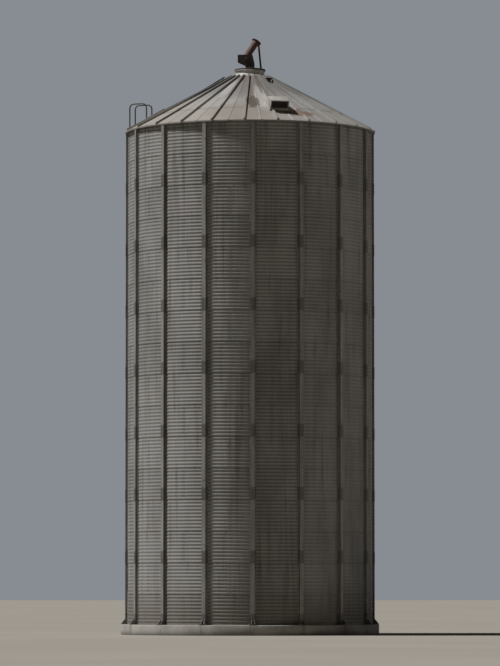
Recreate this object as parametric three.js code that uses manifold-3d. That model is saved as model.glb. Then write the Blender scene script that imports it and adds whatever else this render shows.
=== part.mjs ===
// Round farm silo for grain: a stiffened steel wall on a concrete base, under a ribbed cone roof.
// Millimetres, +Z up. The silo's axis is the Z axis, the ground is at z = 0, and the front faces -Y.
import * as THREE from 'three';
import { mergeVertices } from 'three/addons/utils/BufferGeometryUtils.js';
import Module from 'manifold-3d';

const wasm = await Module();
wasm.setup();

// Driving dimensions
const wallRadius = 3650; // to the outside of the sheets
const ringHeight = 920; // one course of wall sheets
const ringCount = 16;
const stiffenerCount = 16;
const staveCount = 8; // each spans two bays between stiffeners
const panelCount = 24; // roof panels, with a rib over each joint
const roofSectorCount = 8;
const roofSlope = 0.53; // rise over run
const eaveRadius = 3740;
const peakRadius = 420; // the hole at the top of the cone
const baseRadius = 3850;
const baseHeight = 300;
const seat = 0.3; // gap left between pieces that rest on each other
const overrun = 40; // how far a piece runs into the shape that trims it

// Angles are in degrees around the axis, from the front (-Y) towards +X
const bayAngle = 360 / stiffenerCount;
const panelAngle = 360 / panelCount;
const stiffenerPhase = 1.3;
const ribPhase = -2.5;
const ladderAngle = -112;
const ventAngles = [16, 196];
const hatchAngle = ribPhase - 6.5 * panelAngle;
const doorAngle = stiffenerPhase - 4.5 * bayAngle;

// Wall
const sheetDepth = 16; // the depth of the corrugation, which the plain plate stands for
const flange = { reach: 74, thickness: 8 }; // the angles inside the foot and the top of the wall
const wallFacets = 64;
const wallBottom = baseHeight + seat;
const wallTop = wallBottom + ringCount * ringHeight;

// Roof
const roofFacets = 2 * panelCount; // each panel is creased along its middle
const roofThickness = 14;
const roofSeat = { inner: 3560, outer: 3680 };
const eaveLip = 36;
const rib = { width: 44, height: 60, sunk: 8, inner: 590 };
const trimDepth = 200; // how far below the eave the trimming shapes reach
const eaveZ = wallTop + seat - (eaveRadius - roofSeat.outer) * roofSlope + roofThickness;
const roofAngle = Math.atan(roofSlope);

const degrees = THREE.MathUtils.degToRad;

function steel(color, roughness, metalness) {
  return new THREE.MeshStandardMaterial({ color, roughness, metalness });
}
const finishes = {
  concrete: steel(0x9b978e, 0.95, 0),
  wall: steel(0x9a9993, 0.6, 0.6),
  stiffener: steel(0x6f6b64, 0.65, 0.55),
  roof: steel(0xaaa29a, 0.6, 0.5),
  dark: steel(0x2f2c2b, 0.7, 0.4),
  rust: steel(0x5a2b22, 0.85, 0.2),
  ladder: steel(0x77746e, 0.6, 0.6),
};

const silo = new THREE.Group();

function addPart(name, shape, finish) {
  const geometry = shape.isBufferGeometry ? shape : toGeometry(shape);
  const mesh = new THREE.Mesh(geometry, finishes[finish]);
  mesh.name = name;
  silo.add(mesh);
}

// Joining and cutting

// Leaves positions only, each shared by the faces that meet there
function weld(geometry) {
  geometry.deleteAttribute('normal');
  geometry.deleteAttribute('uv');
  const welded = mergeVertices(geometry, 1e-3);
  const corners = welded.index.array;
  const kept = [];
  for (let i = 0; i < corners.length; i += 3) {
    const [a, b, c] = corners.slice(i, i + 3);
    if (a !== b && b !== c && c !== a) kept.push(a, b, c);
  }
  welded.setIndex(kept);
  return welded;
}

function toSolid(geometry) {
  return new wasm.Manifold(new wasm.Mesh({
    numProp: 3,
    vertProperties: new Float32Array(geometry.attributes.position.array),
    triVerts: new Uint32Array(geometry.index.array),
  }));
}

function toGeometry(solid) {
  const mesh = solid.getMesh();
  const geometry = new THREE.BufferGeometry();
  geometry.setAttribute('position', new THREE.BufferAttribute(mesh.vertProperties, 3));
  geometry.setIndex(new THREE.BufferAttribute(mesh.triVerts, 1));
  return geometry;
}

const join = (solids) => solids.reduce((whole, next) => whole.add(next));

// Keeps what lies above a height
const above = (solid, z) => solid.trimByPlane([0, 0, 1], z);

// Basic shapes

function block(size, centre) {
  return weld(new THREE.BoxGeometry(...size)).translate(...centre);
}

// An outline in x and y, extruded upwards from one height to another
function prism(points, bottom, top) {
  const outline = new THREE.Shape(points.map(([x, y]) => new THREE.Vector2(x, y)));
  const geometry = new THREE.ExtrudeGeometry(outline, { depth: top - bottom, bevelEnabled: false });
  return weld(geometry).translate(0, 0, bottom);
}

// An outline in y and z, extruded sideways about x = 0
function sidePrism(points, width) {
  const toSide = new THREE.Matrix4().makeBasis(
    new THREE.Vector3(0, 1, 0), new THREE.Vector3(0, 0, 1), new THREE.Vector3(1, 0, 0));
  return prism(points, -width / 2, width / 2).applyMatrix4(toSide);
}

// An outline in x and z, extruded along y about y = 0
function frontPrism(points, depth, bottom) {
  const toFront = new THREE.Matrix4().makeBasis(
    new THREE.Vector3(1, 0, 0), new THREE.Vector3(0, 0, 1), new THREE.Vector3(0, -1, 0));
  return prism(points, -depth / 2, depth / 2).applyMatrix4(toFront).translate(0, 0, bottom);
}

// A closed outline of radius and height, turned around the axis
function turned(profile, segments, phase = 0) {
  const points = profile.map(([r, z]) => new THREE.Vector2(r, z));
  if (profile[0][0] > 0) points.push(points[0].clone());
  const geometry = new THREE.LatheGeometry(points, segments, degrees(phase), 2 * Math.PI);
  return weld(geometry).rotateX(Math.PI / 2);
}

// A shape along +Z, stood on a point and turned to an axis
function along(geometry, point, axis) {
  const turn = new THREE.Quaternion().setFromUnitVectors(new THREE.Vector3(0, 0, 1), axis);
  return geometry.applyQuaternion(turn).translate(...point);
}

// A straight square bar between two points
function bar(from, to, width) {
  const axis = to.clone().sub(from);
  const length = axis.length();
  return along(block([width, width, length], [0, 0, length / 2]), from, axis.normalize());
}

// Places around the axis

// A frame that stands at an angle around the axis: x is sideways, y points outwards, z is up
function radialFrame(angle) {
  return new THREE.Matrix4().makeRotationZ(degrees(angle) + Math.PI);
}

const polar = (radius, angle) => [radius * Math.sin(degrees(angle)), -radius * Math.cos(degrees(angle))];

// A point half a seat to one side of the radial line at an angle, so that neighbours stay a seat apart
function besideLine(radius, angle, side) {
  return polar(radius, angle + side * THREE.MathUtils.radToDeg(seat / 2 / radius));
}

// The distance to a faceted wall whose flats lie at the given radius, one of them centred on the phase
function facetDistance(radius, angle) {
  const step = 360 / wallFacets;
  const offset = (angle - stiffenerPhase) / step;
  return radius / Math.cos(degrees((offset - Math.round(offset)) * step));
}

// A stretch of faceted ring between two angles that lie on the middles of flats
function ringStretch(from, to, inner, outer, bottom, top) {
  const step = 360 / wallFacets;
  const corners = [];
  for (let angle = from + step / 2; angle < to; angle += step) corners.push(angle);
  const edge = (radius) => [
    besideLine(radius, from, 1),
    ...corners.map((angle) => polar(facetDistance(radius, angle), angle)),
    besideLine(radius, to, -1),
  ];
  return prism([...edge(outer), ...edge(inner).reverse()], bottom, top);
}

const roofTopZ = (radius) => eaveZ + (eaveRadius - radius) * roofSlope;
const roofUnderZ = (radius) => roofTopZ(radius) - roofThickness;

// A frame that lies on the roof: x is sideways, y points up the slope, z stands off the sheet
function roofFrame(angle, radius) {
  return new THREE.Matrix4().makeRotationZ(degrees(angle))
    .multiply(new THREE.Matrix4().makeTranslation(0, -radius, roofTopZ(radius)))
    .multiply(new THREE.Matrix4().makeRotationX(roofAngle));
}

// One raised rib of the roof, grown by a clearance
function ribBar(index, clearance = 0) {
  const outer = eaveRadius + overrun;
  const length = (outer - rib.inner) / Math.cos(roofAngle) + 2 * clearance;
  const top = rib.height + clearance;
  const ribBlock = block([rib.width + 2 * clearance, length, top + rib.sunk], [0, 0, (top - rib.sunk) / 2]);
  const place = roofFrame(ribPhase + index * panelAngle, (outer + rib.inner) / 2);
  return toSolid(ribBlock.applyMatrix4(place));
}

// What pieces on the wall are trimmed to: the wall's outer faces, grown by the seat
const wallCore = toSolid(prism(
  Array.from({ length: wallFacets }, (_, i) => {
    const angle = stiffenerPhase + (i + 0.5) * (360 / wallFacets);
    return polar(facetDistance(wallRadius + seat, angle), angle);
  }), 0, wallTop));

// What pieces on the roof are trimmed to: the cone's top with its ribs, grown by the seat
const roofCore = join([
  toSolid(turned([
    [0, eaveZ - trimDepth],
    [eaveRadius, eaveZ - trimDepth],
    [eaveRadius, roofTopZ(eaveRadius) + seat],
    [0, roofTopZ(0) + seat],
  ], roofFacets, ribPhase)),
  ...Array.from({ length: panelCount }, (_, i) => ribBar(i, seat)),
]);

// Concrete base
const baseChamfer = 25;
addPart('concrete_base', turned([
  [0, 0],
  [baseRadius, 0],
  [baseRadius, baseHeight - baseChamfer],
  [baseRadius - baseChamfer, baseHeight],
  [0, baseHeight],
], wallFacets, stiffenerPhase), 'concrete');

// Wall: upright staves of stacked sheets, each with its stretch of foot angle and eave angle inside
const staveAngle = 360 / staveCount;
for (let i = 0; i < staveCount; i += 1) {
  const from = stiffenerPhase + i * staveAngle;
  const inner = wallRadius - sheetDepth;
  const stretch = (reach, bottom, top) => toSolid(
    ringStretch(from, from + staveAngle, reach, wallRadius, bottom, top));
  addPart(`wall_stave_${i + 1}`, join([
    stretch(inner, wallBottom, wallTop),
    stretch(inner - flange.reach, wallBottom, wallBottom + flange.thickness),
    stretch(inner - flange.reach, wallTop - flange.thickness, wallTop),
  ]), 'wall');
}

// Stiffeners: a hat section with a foot plate and two gussets
const hat = { flangeHalf: 95, crownHalf: 52, depth: 70, thickness: 5, topGap: 70 };
const foot = {
  half: 115,
  reach: 190,
  thickness: 16,
  gussetHeight: 150,
  gussetThickness: 10,
  gussetToe: 20,
  edge: 10, // left free in front of the gussets
};
const bite = 1; // how far a gusset runs into the pieces that it joins
function stiffener(angle) {
  const { flangeHalf, crownHalf, depth, thickness } = hat;
  const section = [
    [-flangeHalf, 0],
    [-crownHalf + thickness, 0],
    [-crownHalf + thickness, depth - thickness],
    [crownHalf - thickness, depth - thickness],
    [crownHalf - thickness, 0],
    [flangeHalf, 0],
    [flangeHalf, thickness],
    [crownHalf, thickness],
    [crownHalf, depth],
    [-crownHalf, depth],
    [-crownHalf, thickness],
    [-flangeHalf, thickness],
  ];
  const plateTop = wallBottom + foot.thickness;
  const gusset = [
    [depth - bite, plateTop - bite],
    [foot.reach - foot.edge, plateTop - bite],
    [foot.reach - foot.edge, plateTop + foot.gussetToe],
    [depth - bite, plateTop + foot.gussetHeight],
  ];
  const gussets = [-1, 1].map((side) => sidePrism(gusset, foot.gussetThickness)
    .translate(side * (crownHalf - foot.gussetThickness), 0, 0));
  const pieces = [
    prism(section, wallBottom, wallTop - hat.topGap),
    block([2 * foot.half, foot.reach, foot.thickness], [0, foot.reach / 2, wallBottom + foot.thickness / 2]),
    ...gussets,
  ];
  const place = radialFrame(angle).multiply(new THREE.Matrix4().makeTranslation(0, wallRadius + seat, 0));
  return join(pieces.map((piece) => toSolid(piece.applyMatrix4(place))));
}

for (let i = 0; i < stiffenerCount; i += 1) {
  const name = `stiffener_${String(i + 1).padStart(2, '0')}`;
  addPart(name, stiffener(stiffenerPhase + i * bayAngle), 'stiffener');
}

// Roof: sectors of the ribbed cone, with a foot on the eave angle and a turned-down lip
const roofShell = toSolid(turned([
  [eaveRadius, roofTopZ(eaveRadius)],
  [peakRadius, roofTopZ(peakRadius)],
  [peakRadius, roofUnderZ(peakRadius)],
  [roofSeat.inner, roofUnderZ(roofSeat.inner)],
  [roofSeat.inner, wallTop + seat],
  [roofSeat.outer, wallTop + seat],
  [eaveRadius - roofThickness, roofUnderZ(eaveRadius - roofThickness)],
  [eaveRadius - roofThickness, eaveZ - eaveLip],
  [eaveRadius, eaveZ - eaveLip],
], roofFacets, ribPhase));

const ribsPerSector = panelCount / roofSectorCount;
const facetAngle = 360 / roofFacets;
const wedgeInner = 200; // inside the hole at the peak
for (let i = 0; i < roofSectorCount; i += 1) {
  const ribs = Array.from({ length: ribsPerSector }, (_, k) => i * ribsPerSector + k);
  const from = ribPhase + ribs[0] * panelAngle - facetAngle / 2;
  const to = from + ribsPerSector * panelAngle;
  const corners = [];
  for (let angle = from + facetAngle / 2; angle < to; angle += facetAngle) {
    corners.push(polar(eaveRadius, angle));
  }
  const edge = eaveRadius * Math.cos(degrees(facetAngle / 2));
  const wedge = [
    besideLine(wedgeInner, from, 1),
    besideLine(edge, from, 1),
    ...corners,
    besideLine(edge, to, -1),
    besideLine(wedgeInner, to, -1),
  ];
  const limits = toSolid(prism(wedge, eaveZ - trimDepth, roofTopZ(0)));
  const ribBars = ribs.map((index) => ribBar(index));
  addPart(`roof_sector_${i + 1}`, join([roofShell, ...ribBars]).intersect(limits), 'roof');
}

// Peak collar: a skirt on the cone, a short neck and a flange
const collar = { skirt: 570, wall: 14, flangeRadius: 470, flangeThickness: 12, height: 120 };
const skirtZ = (radius) => roofTopZ(radius) + seat;
const collarTop = skirtZ(peakRadius) + collar.height;
const neckRadius = peakRadius + collar.wall;
addPart('peak_collar', turned([
  [peakRadius, skirtZ(peakRadius)],
  [collar.skirt, skirtZ(collar.skirt)],
  [collar.skirt, skirtZ(collar.skirt) + collar.wall],
  [neckRadius, skirtZ(neckRadius) + collar.wall],
  [neckRadius, collarTop - collar.flangeThickness],
  [collar.flangeRadius, collarTop - collar.flangeThickness],
  [collar.flangeRadius, collarTop],
  [peakRadius, collarTop],
], roofFacets, ribPhase), 'roof');

// Cap plate over the collar, with the square hole that the grain falls through
const cap = { radius: 465, thickness: 60, holeHalf: 112 };
const capBottom = collarTop + seat;
const capTop = capBottom + cap.thickness;
const capDisc = toSolid(turned([
  [0, capBottom],
  [cap.radius, capBottom],
  [cap.radius, capTop],
  [0, capTop],
], roofFacets, ribPhase));
const capHole = toSolid(block(
  [2 * cap.holeHalf, 2 * cap.holeHalf, cap.thickness + 2 * overrun],
  [0, 0, (capBottom + capTop) / 2]));
addPart('peak_cap', capDisc.subtract(capHole), 'dark');

// Inlet box: grain from the stub strikes its dead end on the left, then drops through the neck
const box = {
  depth: 260,
  wall: 8,
  neckHalf: 120,
  reach: 350, // from the axis to the dead end
  height: 410,
  lidEnd: 60,
  shoulder: 150,
  heel: 230,
  throat: 110,
};
const inletBottom = capTop + seat;
function boxOutline(inset) {
  return [
    [-box.neckHalf + inset, -inset],
    [box.neckHalf - inset, -inset],
    [box.neckHalf - inset, box.shoulder],
    [box.lidEnd - inset, box.height - inset],
    [-box.reach + inset, box.height - inset],
    [-box.reach + inset, box.heel + inset / 2],
    [-box.neckHalf + inset, box.throat + inset / 2],
  ];
}
const boxOutside = toSolid(frontPrism(boxOutline(0), box.depth, inletBottom));
const boxInside = toSolid(frontPrism(boxOutline(box.wall), box.depth - 2 * box.wall, inletBottom));

// Inlet stub: the rusty last length of spout, leaning right and back, with its flange and its leg
const stub = {
  foot: [-130, 0, 340], // from the middle of the box's underside
  head: [200, 150, 860],
  radius: 100,
  wall: 8,
  flangeRadius: 155,
  flangeThickness: 14,
  sides: 20,
};
const stubLeg = {
  foot: [330, 60, 0],
  width: 45,
  plate: 110,
  plateThickness: 10,
  belowHead: 60,
  besideHead: 85,
};
const overBox = ([x, y, z]) => new THREE.Vector3(x, y, inletBottom + z);
const stubFoot = overBox(stub.foot);
const stubHead = overBox(stub.head);
const stubAxis = stubHead.clone().sub(stubFoot).normalize();
const stubLength = stubHead.distanceTo(stubFoot);

const bore = stub.radius - stub.wall;
const stubHole = toSolid(along(
  turned([
    [0, -overrun],
    [bore, -overrun],
    [bore, stubLength + overrun],
    [0, stubLength + overrun],
  ], stub.sides), stubFoot, stubAxis));
addPart('inlet_box', boxOutside.subtract(boxInside).subtract(stubHole), 'dark');

const stubTube = toSolid(along(
  turned([
    [0, 0],
    [stub.radius, 0],
    [stub.radius, stubLength - stub.flangeThickness],
    [stub.flangeRadius, stubLength - stub.flangeThickness],
    [stub.flangeRadius, stubLength],
    [0, stubLength],
  ], stub.sides), stubFoot, stubAxis));
const legFoot = overBox(stubLeg.foot);
const legHead = stubHead.clone().addScaledVector(stubAxis, -stubLeg.belowHead);
legHead.x += stubLeg.besideHead;
const leg = above(toSolid(bar(legFoot, legHead, stubLeg.width)), inletBottom);
const legPlate = toSolid(block(
  [stubLeg.plate, stubLeg.plate, stubLeg.plateThickness],
  [legFoot.x, legFoot.y, inletBottom + stubLeg.plateThickness / 2]));
const stubAboveBox = above(stubTube, inletBottom + box.height + seat);
addPart('inlet_stub', join([stubAboveBox, leg, legPlate]).subtract(stubHole), 'rust');

// Roof vents: a curb under a hood whose recessed mouth looks down the slope, over a rib on its left
const vent = { radius: 2820, width: 560 };
const ventCurb = { size: [600, 600, 60], centre: [0, 10, 5] };
const ventMouth = { size: [500, 200, 216], centre: [0, -300, 182] };
const hoodOutline = [
  [-290, 45],
  [-312, 318],
  [-60, 348],
  [180, 280],
  [290, 130],
  [290, -30],
  [-270, -30],
  [-270, 45],
];
function roofVent(angle) {
  const place = roofFrame(angle, vent.radius);
  const onRoof = (geometry) => toSolid(geometry.applyMatrix4(place));
  return join([onRoof(sidePrism(hoodOutline, vent.width)), onRoof(block(ventCurb.size, ventCurb.centre))])
    .subtract(onRoof(block(ventMouth.size, ventMouth.centre)))
    .subtract(roofCore);
}
ventAngles.forEach((angle, i) => addPart(`roof_vent_${i + 1}`, roofVent(angle), 'dark'));

// Roof hatch: a curb and a lid that overlaps it, with a handle
const hatch = { radius: 2800, size: 560, height: 130, lidSize: 620, lidThickness: 12 };
const hatchHandle = { size: [120, 24, 60], y: -200 };
const hatchPlace = roofFrame(hatchAngle, hatch.radius);
const hatchBlock = (size, centre) => toSolid(block(size, centre).applyMatrix4(hatchPlace));
const hatchCurb = hatchBlock(
  [hatch.size, hatch.size, hatch.height + overrun],
  [0, 0, (hatch.height - overrun) / 2]);
addPart('roof_hatch_curb', hatchCurb.subtract(roofCore), 'roof');
const lidZ = hatch.height + seat;
addPart('roof_hatch_lid', join([
  hatchBlock([hatch.lidSize, hatch.lidSize, hatch.lidThickness], [0, 0, lidZ + hatch.lidThickness / 2]),
  hatchBlock(hatchHandle.size, [0, hatchHandle.y, lidZ + hatch.lidThickness / 2 + hatchHandle.size[2] / 2]),
]), 'roof');

// Wall ladder: two stiles, rungs, and bracket arms down to the sheets
const ladder = {
  half: 205,
  reach: 3850, // from the silo's axis
  stile: { width: 12, depth: 60 },
  rung: 25,
  pitch: 300,
  bottom: 450,
  top: eaveZ + 60,
  firstRung: 150,
  lastGap: 40,
  arm: { width: 8, height: 50, overlap: 5 },
};
const ladderPlace = radialFrame(ladderAngle);
const onLadder = (geometry) => toSolid(geometry.applyMatrix4(ladderPlace));
const ladderPieces = [];
const ladderHeight = ladder.top - ladder.bottom;
const armInner = wallRadius - overrun;
const armOuter = ladder.reach - ladder.stile.depth / 2 + ladder.arm.overlap;
for (const side of [-1, 1]) {
  ladderPieces.push(onLadder(block(
    [ladder.stile.width, ladder.stile.depth, ladderHeight],
    [side * ladder.half, ladder.reach, ladder.bottom + ladderHeight / 2])));
  for (let z = wallBottom + ringHeight; z < wallTop; z += 2 * ringHeight) {
    ladderPieces.push(onLadder(block(
      [ladder.arm.width, armOuter - armInner, ladder.arm.height],
      [side * ladder.half, (armOuter + armInner) / 2, z])));
  }
}
for (let z = ladder.bottom + ladder.firstRung; z < ladder.top - ladder.lastGap; z += ladder.pitch) {
  ladderPieces.push(onLadder(block([2 * ladder.half, ladder.rung, ladder.rung], [0, ladder.reach, z])));
}
addPart('wall_ladder', join(ladderPieces).subtract(wallCore), 'ladder');

// Eave rails: arches beside the step from the ladder to the roof
const rail = { radius: 21, height: 1050, inner: 3300, bend: 150 };
function eaveRail(side) {
  const top = eaveZ + rail.height;
  const spot = (radius, z) => new THREE.Vector3(side * ladder.half, radius, z);
  const outerBend = [
    spot(ladder.reach, top - rail.bend),
    spot(ladder.reach, top),
    spot(ladder.reach - rail.bend, top),
  ];
  const innerBend = [
    spot(rail.inner + rail.bend, top),
    spot(rail.inner, top),
    spot(rail.inner, top - rail.bend),
  ];
  const path = new THREE.CurvePath();
  path.add(new THREE.LineCurve3(spot(ladder.reach, ladder.top + seat), outerBend[0]));
  path.add(new THREE.QuadraticBezierCurve3(...outerBend));
  path.add(new THREE.LineCurve3(outerBend[2], innerBend[0]));
  path.add(new THREE.QuadraticBezierCurve3(...innerBend));
  path.add(new THREE.LineCurve3(innerBend[2], spot(rail.inner, roofTopZ(rail.inner) - overrun)));
  const section = new THREE.Shape();
  section.absarc(0, 0, rail.radius, 0, 2 * Math.PI);
  const tube = new THREE.ExtrudeGeometry(section, { steps: 24, curveSegments: 4, extrudePath: path });
  return onLadder(weld(tube)).subtract(roofCore);
}
addPart('eave_rail_left', eaveRail(-1), 'ladder');
addPart('eave_rail_right', eaveRail(1), 'ladder');

// Roof ladder: stiles and rungs on short legs, from the eave to the peak
const roofLadder = {
  lower: 3150, // radius at the lower end
  upper: 690,
  standOff: 90,
  stileDepth: 45,
  firstRung: 120,
  lastGap: 60,
  legRadii: [3050, 1900, 1330, 760],
  legWidth: 50,
  legOverlap: 10,
};
const climb = (roofLadder.lower - roofLadder.upper) / Math.cos(roofAngle);
const stileLevel = roofLadder.standOff + roofLadder.stileDepth / 2;
const roofLadderPlace = roofFrame(ladderAngle, (roofLadder.lower + roofLadder.upper) / 2);
const onRoofLadder = (geometry) => toSolid(geometry.applyMatrix4(roofLadderPlace));
const roofLadderPieces = [];
for (const side of [-1, 1]) {
  roofLadderPieces.push(onRoofLadder(block(
    [ladder.stile.width, climb, roofLadder.stileDepth],
    [side * ladder.half, 0, stileLevel])));
  for (const radius of roofLadder.legRadii) {
    const top = roofLadder.standOff + roofLadder.legOverlap;
    const leg = block(
      [ladder.stile.width, roofLadder.legWidth, top + overrun],
      [side * ladder.half, 0, (top - overrun) / 2]);
    roofLadderPieces.push(toSolid(leg.applyMatrix4(roofFrame(ladderAngle, radius))));
  }
}
for (let y = -climb / 2 + roofLadder.firstRung; y < climb / 2 - roofLadder.lastGap; y += ladder.pitch) {
  roofLadderPieces.push(onRoofLadder(block([2 * ladder.half, ladder.rung, ladder.rung], [0, y, stileLevel])));
}
addPart('roof_ladder', join(roofLadderPieces).subtract(roofCore), 'ladder');

// Access door: a bolted cover over the manhole in the second ring
const door = { half: 330, height: 1240, overJoint: 60, proud: 40, frame: 55, recess: 14 };
const doorPlace = radialFrame(doorAngle);
const onDoor = (geometry) => toSolid(geometry.applyMatrix4(doorPlace));
const doorZ = wallBottom + ringHeight + door.overJoint + door.height / 2;
const doorPlate = onDoor(block(
  [2 * door.half, door.proud + overrun, door.height],
  [0, wallRadius + (door.proud - overrun) / 2, doorZ]));
const doorRecess = onDoor(block(
  [2 * (door.half - door.frame), 2 * door.recess, door.height - 2 * door.frame],
  [0, wallRadius + door.proud, doorZ]));
addPart('access_door', doorPlate.subtract(doorRecess).subtract(wallCore), 'wall');

export default silo;
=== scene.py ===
import math
from contextlib import contextmanager

import bpy
from mathutils import Matrix, Vector


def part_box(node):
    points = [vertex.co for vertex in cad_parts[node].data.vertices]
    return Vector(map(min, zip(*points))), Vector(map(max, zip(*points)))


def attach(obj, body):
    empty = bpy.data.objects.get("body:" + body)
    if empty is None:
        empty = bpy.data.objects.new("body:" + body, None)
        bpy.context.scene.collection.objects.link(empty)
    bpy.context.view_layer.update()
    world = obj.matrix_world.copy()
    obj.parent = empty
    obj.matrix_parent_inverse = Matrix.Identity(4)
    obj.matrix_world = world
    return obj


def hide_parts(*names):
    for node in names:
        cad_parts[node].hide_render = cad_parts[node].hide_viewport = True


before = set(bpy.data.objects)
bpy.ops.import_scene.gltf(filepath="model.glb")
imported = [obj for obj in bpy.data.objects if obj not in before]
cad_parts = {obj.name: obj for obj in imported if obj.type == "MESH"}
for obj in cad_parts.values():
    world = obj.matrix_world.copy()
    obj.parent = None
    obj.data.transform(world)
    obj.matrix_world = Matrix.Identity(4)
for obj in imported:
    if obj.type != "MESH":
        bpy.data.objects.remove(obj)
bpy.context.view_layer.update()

# Shared sizes, in metres and degrees. Angles run from the front towards +X
wallLow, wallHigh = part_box("wall_stave_1")
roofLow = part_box("roof_sector_1")[0]
silo = {
    "wallRadius": 3.65,
    "wallBottom": wallLow.z,
    "wallTop": wallHigh.z,
    "ringCount": 16,
    "staveCount": 8,
    "stiffenerCount": 16,
    "stiffenerPhase": 1.3,
    "eaveRadius": 3.74,
    "eaveZ": roofLow.z + 0.036,
    "roofSlope": 0.53,
    "panelCount": 24,
    "ribPhase": -2.5,
    "sectorCount": 8,
    "ladderAngle": -112,
    "ladderHalf": 0.205,
    "seat": 0.0003,
}
silo["ringHeight"] = (silo["wallTop"] - silo["wallBottom"]) / silo["ringCount"]
bayAngle = 360 / silo["stiffenerCount"]
panelAngle = 360 / silo["panelCount"]
roofAngle = math.atan(silo["roofSlope"])


def stiffenerAngle(index):
    return silo["stiffenerPhase"] + index * bayAngle


def ribAngle(index):
    return silo["ribPhase"] + index * panelAngle


def roofTop(radius):
    return silo["eaveZ"] + (silo["eaveRadius"] - radius) * silo["roofSlope"]


def moved(x, y, z):
    return Matrix.Translation((x, y, z))


def turned(degrees, axis="Z"):
    return Matrix.Rotation(math.radians(degrees), 4, axis)


# Frames. On the wall x is sideways, y points outwards and z is up
def wallFrame(angle, radius=0.0, height=0.0):
    return Matrix.Rotation(math.radians(angle) + math.pi, 4, "Z") @ moved(0, radius, height)


# On the roof x is sideways, y points up the slope and z stands off the sheet
def roofFrame(angle, radius, lift=0.0):
    slope = Matrix.Rotation(roofAngle, 4, "X")
    return turned(angle) @ moved(0, -radius, roofTop(radius)) @ slope @ moved(0, 0, lift)


# An outline drawn in x and y stands up, facing sideways or facing the front
facingSideways = Matrix(((0, 0, 1, 0), (1, 0, 0, 0), (0, 1, 0, 0), (0, 0, 0, 1)))
facingFront = Matrix(((1, 0, 0, 0), (0, 0, -1, 0), (0, 1, 0, 0), (0, 0, 0, 1)))
# What stands up points outwards from the wall, or sideways
outwards = turned(-90, "X")
sideways = turned(90, "Y")


def alongAxis(point, axis):
    turn = Vector((0, 0, 1)).rotation_difference(axis).to_matrix().to_4x4()
    return Matrix.Translation(point) @ turn


# Modelling steps
def pickOnly(*objects):
    bpy.ops.object.select_all(action="DESELECT")
    for obj in objects:
        obj.select_set(True)
    bpy.context.view_layer.objects.active = objects[0]


def place(obj, matrix):
    obj.data.transform(matrix)
    return obj


def modify(obj, kind, **settings):
    modifier = obj.modifiers.new(kind.lower(), kind)
    for key, value in settings.items():
        setattr(modifier, key, value)
    pickOnly(obj)
    bpy.ops.object.modifier_apply(modifier=modifier.name)
    return obj


def bevelled(obj, width, segments=2, angle=30):
    return modify(obj, "BEVEL", width=width, segments=segments, limit_method="ANGLE",
                  angle_limit=math.radians(angle), harden_normals=False)


# Edit mode on one piece, with all of it picked or only the parts of one kind that pass a test
@contextmanager
def editing(obj, kind="vertices", wanted=None):
    pickOnly(obj)
    if wanted:
        for part in (*obj.data.vertices, *obj.data.edges, *obj.data.polygons):
            part.select = False
        for part in getattr(obj.data, kind):
            part.select = wanted(part)
    settings = bpy.context.tool_settings
    settings.mesh_select_mode = [kind == each for each in ("vertices", "edges", "polygons")]
    bpy.ops.object.mode_set(mode="EDIT")
    if not wanted:
        bpy.ops.mesh.select_all(action="SELECT")
    yield
    bpy.ops.object.mode_set(mode="OBJECT")
    settings.mesh_select_mode = (True, False, False)


def tidyShell(obj):
    with editing(obj):
        bpy.ops.mesh.remove_doubles(threshold=0.00005)
        bpy.ops.mesh.normals_make_consistent(inside=False)
    return obj


# Insets the picked faces and moves what lies inside the border
def pressFaces(border, push):
    bpy.ops.mesh.inset(thickness=border, depth=0)
    bpy.ops.mesh.extrude_region_move(TRANSFORM_OT_translate={"value": push})


def copyPiece(obj, matrix):
    copy = obj.copy()
    copy.data = obj.data.copy()
    bpy.context.scene.collection.objects.link(copy)
    return place(copy, matrix)


def joinPieces(pieces):
    if len(pieces) > 1:
        pickOnly(*pieces)
        bpy.ops.object.join()
    return pieces[0]


def removePiece(obj):
    bpy.data.objects.remove(obj)


def block(size, centre=(0, 0, 0)):
    bpy.ops.mesh.primitive_cube_add(size=1)
    return place(bpy.context.object, Matrix.Translation(centre) @ Matrix.Diagonal((*size, 1)))


def plate(size, centre=(0, 0, 0), edge=0.002, segments=2):
    return bevelled(block(size, centre), edge, segments)


def rod(radius, length, sides=8, topRadius=None):
    topRadius = radius if topRadius is None else topRadius
    bpy.ops.mesh.primitive_cone_add(vertices=sides, radius1=radius, depth=length, radius2=topRadius)
    return place(bpy.context.object, moved(0, 0, length / 2))


# A flat outline, extruded upwards
def extrudeOutline(points, height):
    bpy.ops.mesh.primitive_circle_add(vertices=len(points), fill_type="NGON")
    obj = bpy.context.object
    for vertex, (x, y) in zip(obj.data.vertices, points):
        vertex.co = (x, y, 0)
    with editing(obj):
        bpy.ops.mesh.extrude_region_move(TRANSFORM_OT_translate={"value": (0, 0, height)})
    return tidyShell(obj)


def spinAll(steps, sweep):
    bpy.ops.mesh.spin(steps=steps, angle=math.radians(sweep), center=(0, 0, 0), axis=(0, 0, 1))


# A closed outline of radius and height, spun around the axis
def spinOutline(points, steps, start=0, sweep=360):
    fill = "NOTHING" if sweep == 360 else "NGON"
    bpy.ops.mesh.primitive_circle_add(vertices=len(points), fill_type=fill)
    obj = bpy.context.object
    for vertex, (radius, z) in zip(obj.data.vertices, points):
        vertex.co = (0, -radius, z)
    with editing(obj):
        spinAll(steps, sweep)
    return tidyShell(place(obj, turned(start)))


# The right half of an outline, from its foot upwards, and its mirror image
def mirrored(rightHalf):
    return rightHalf + [(-x, y) for x, y in reversed(rightHalf)]


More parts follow.
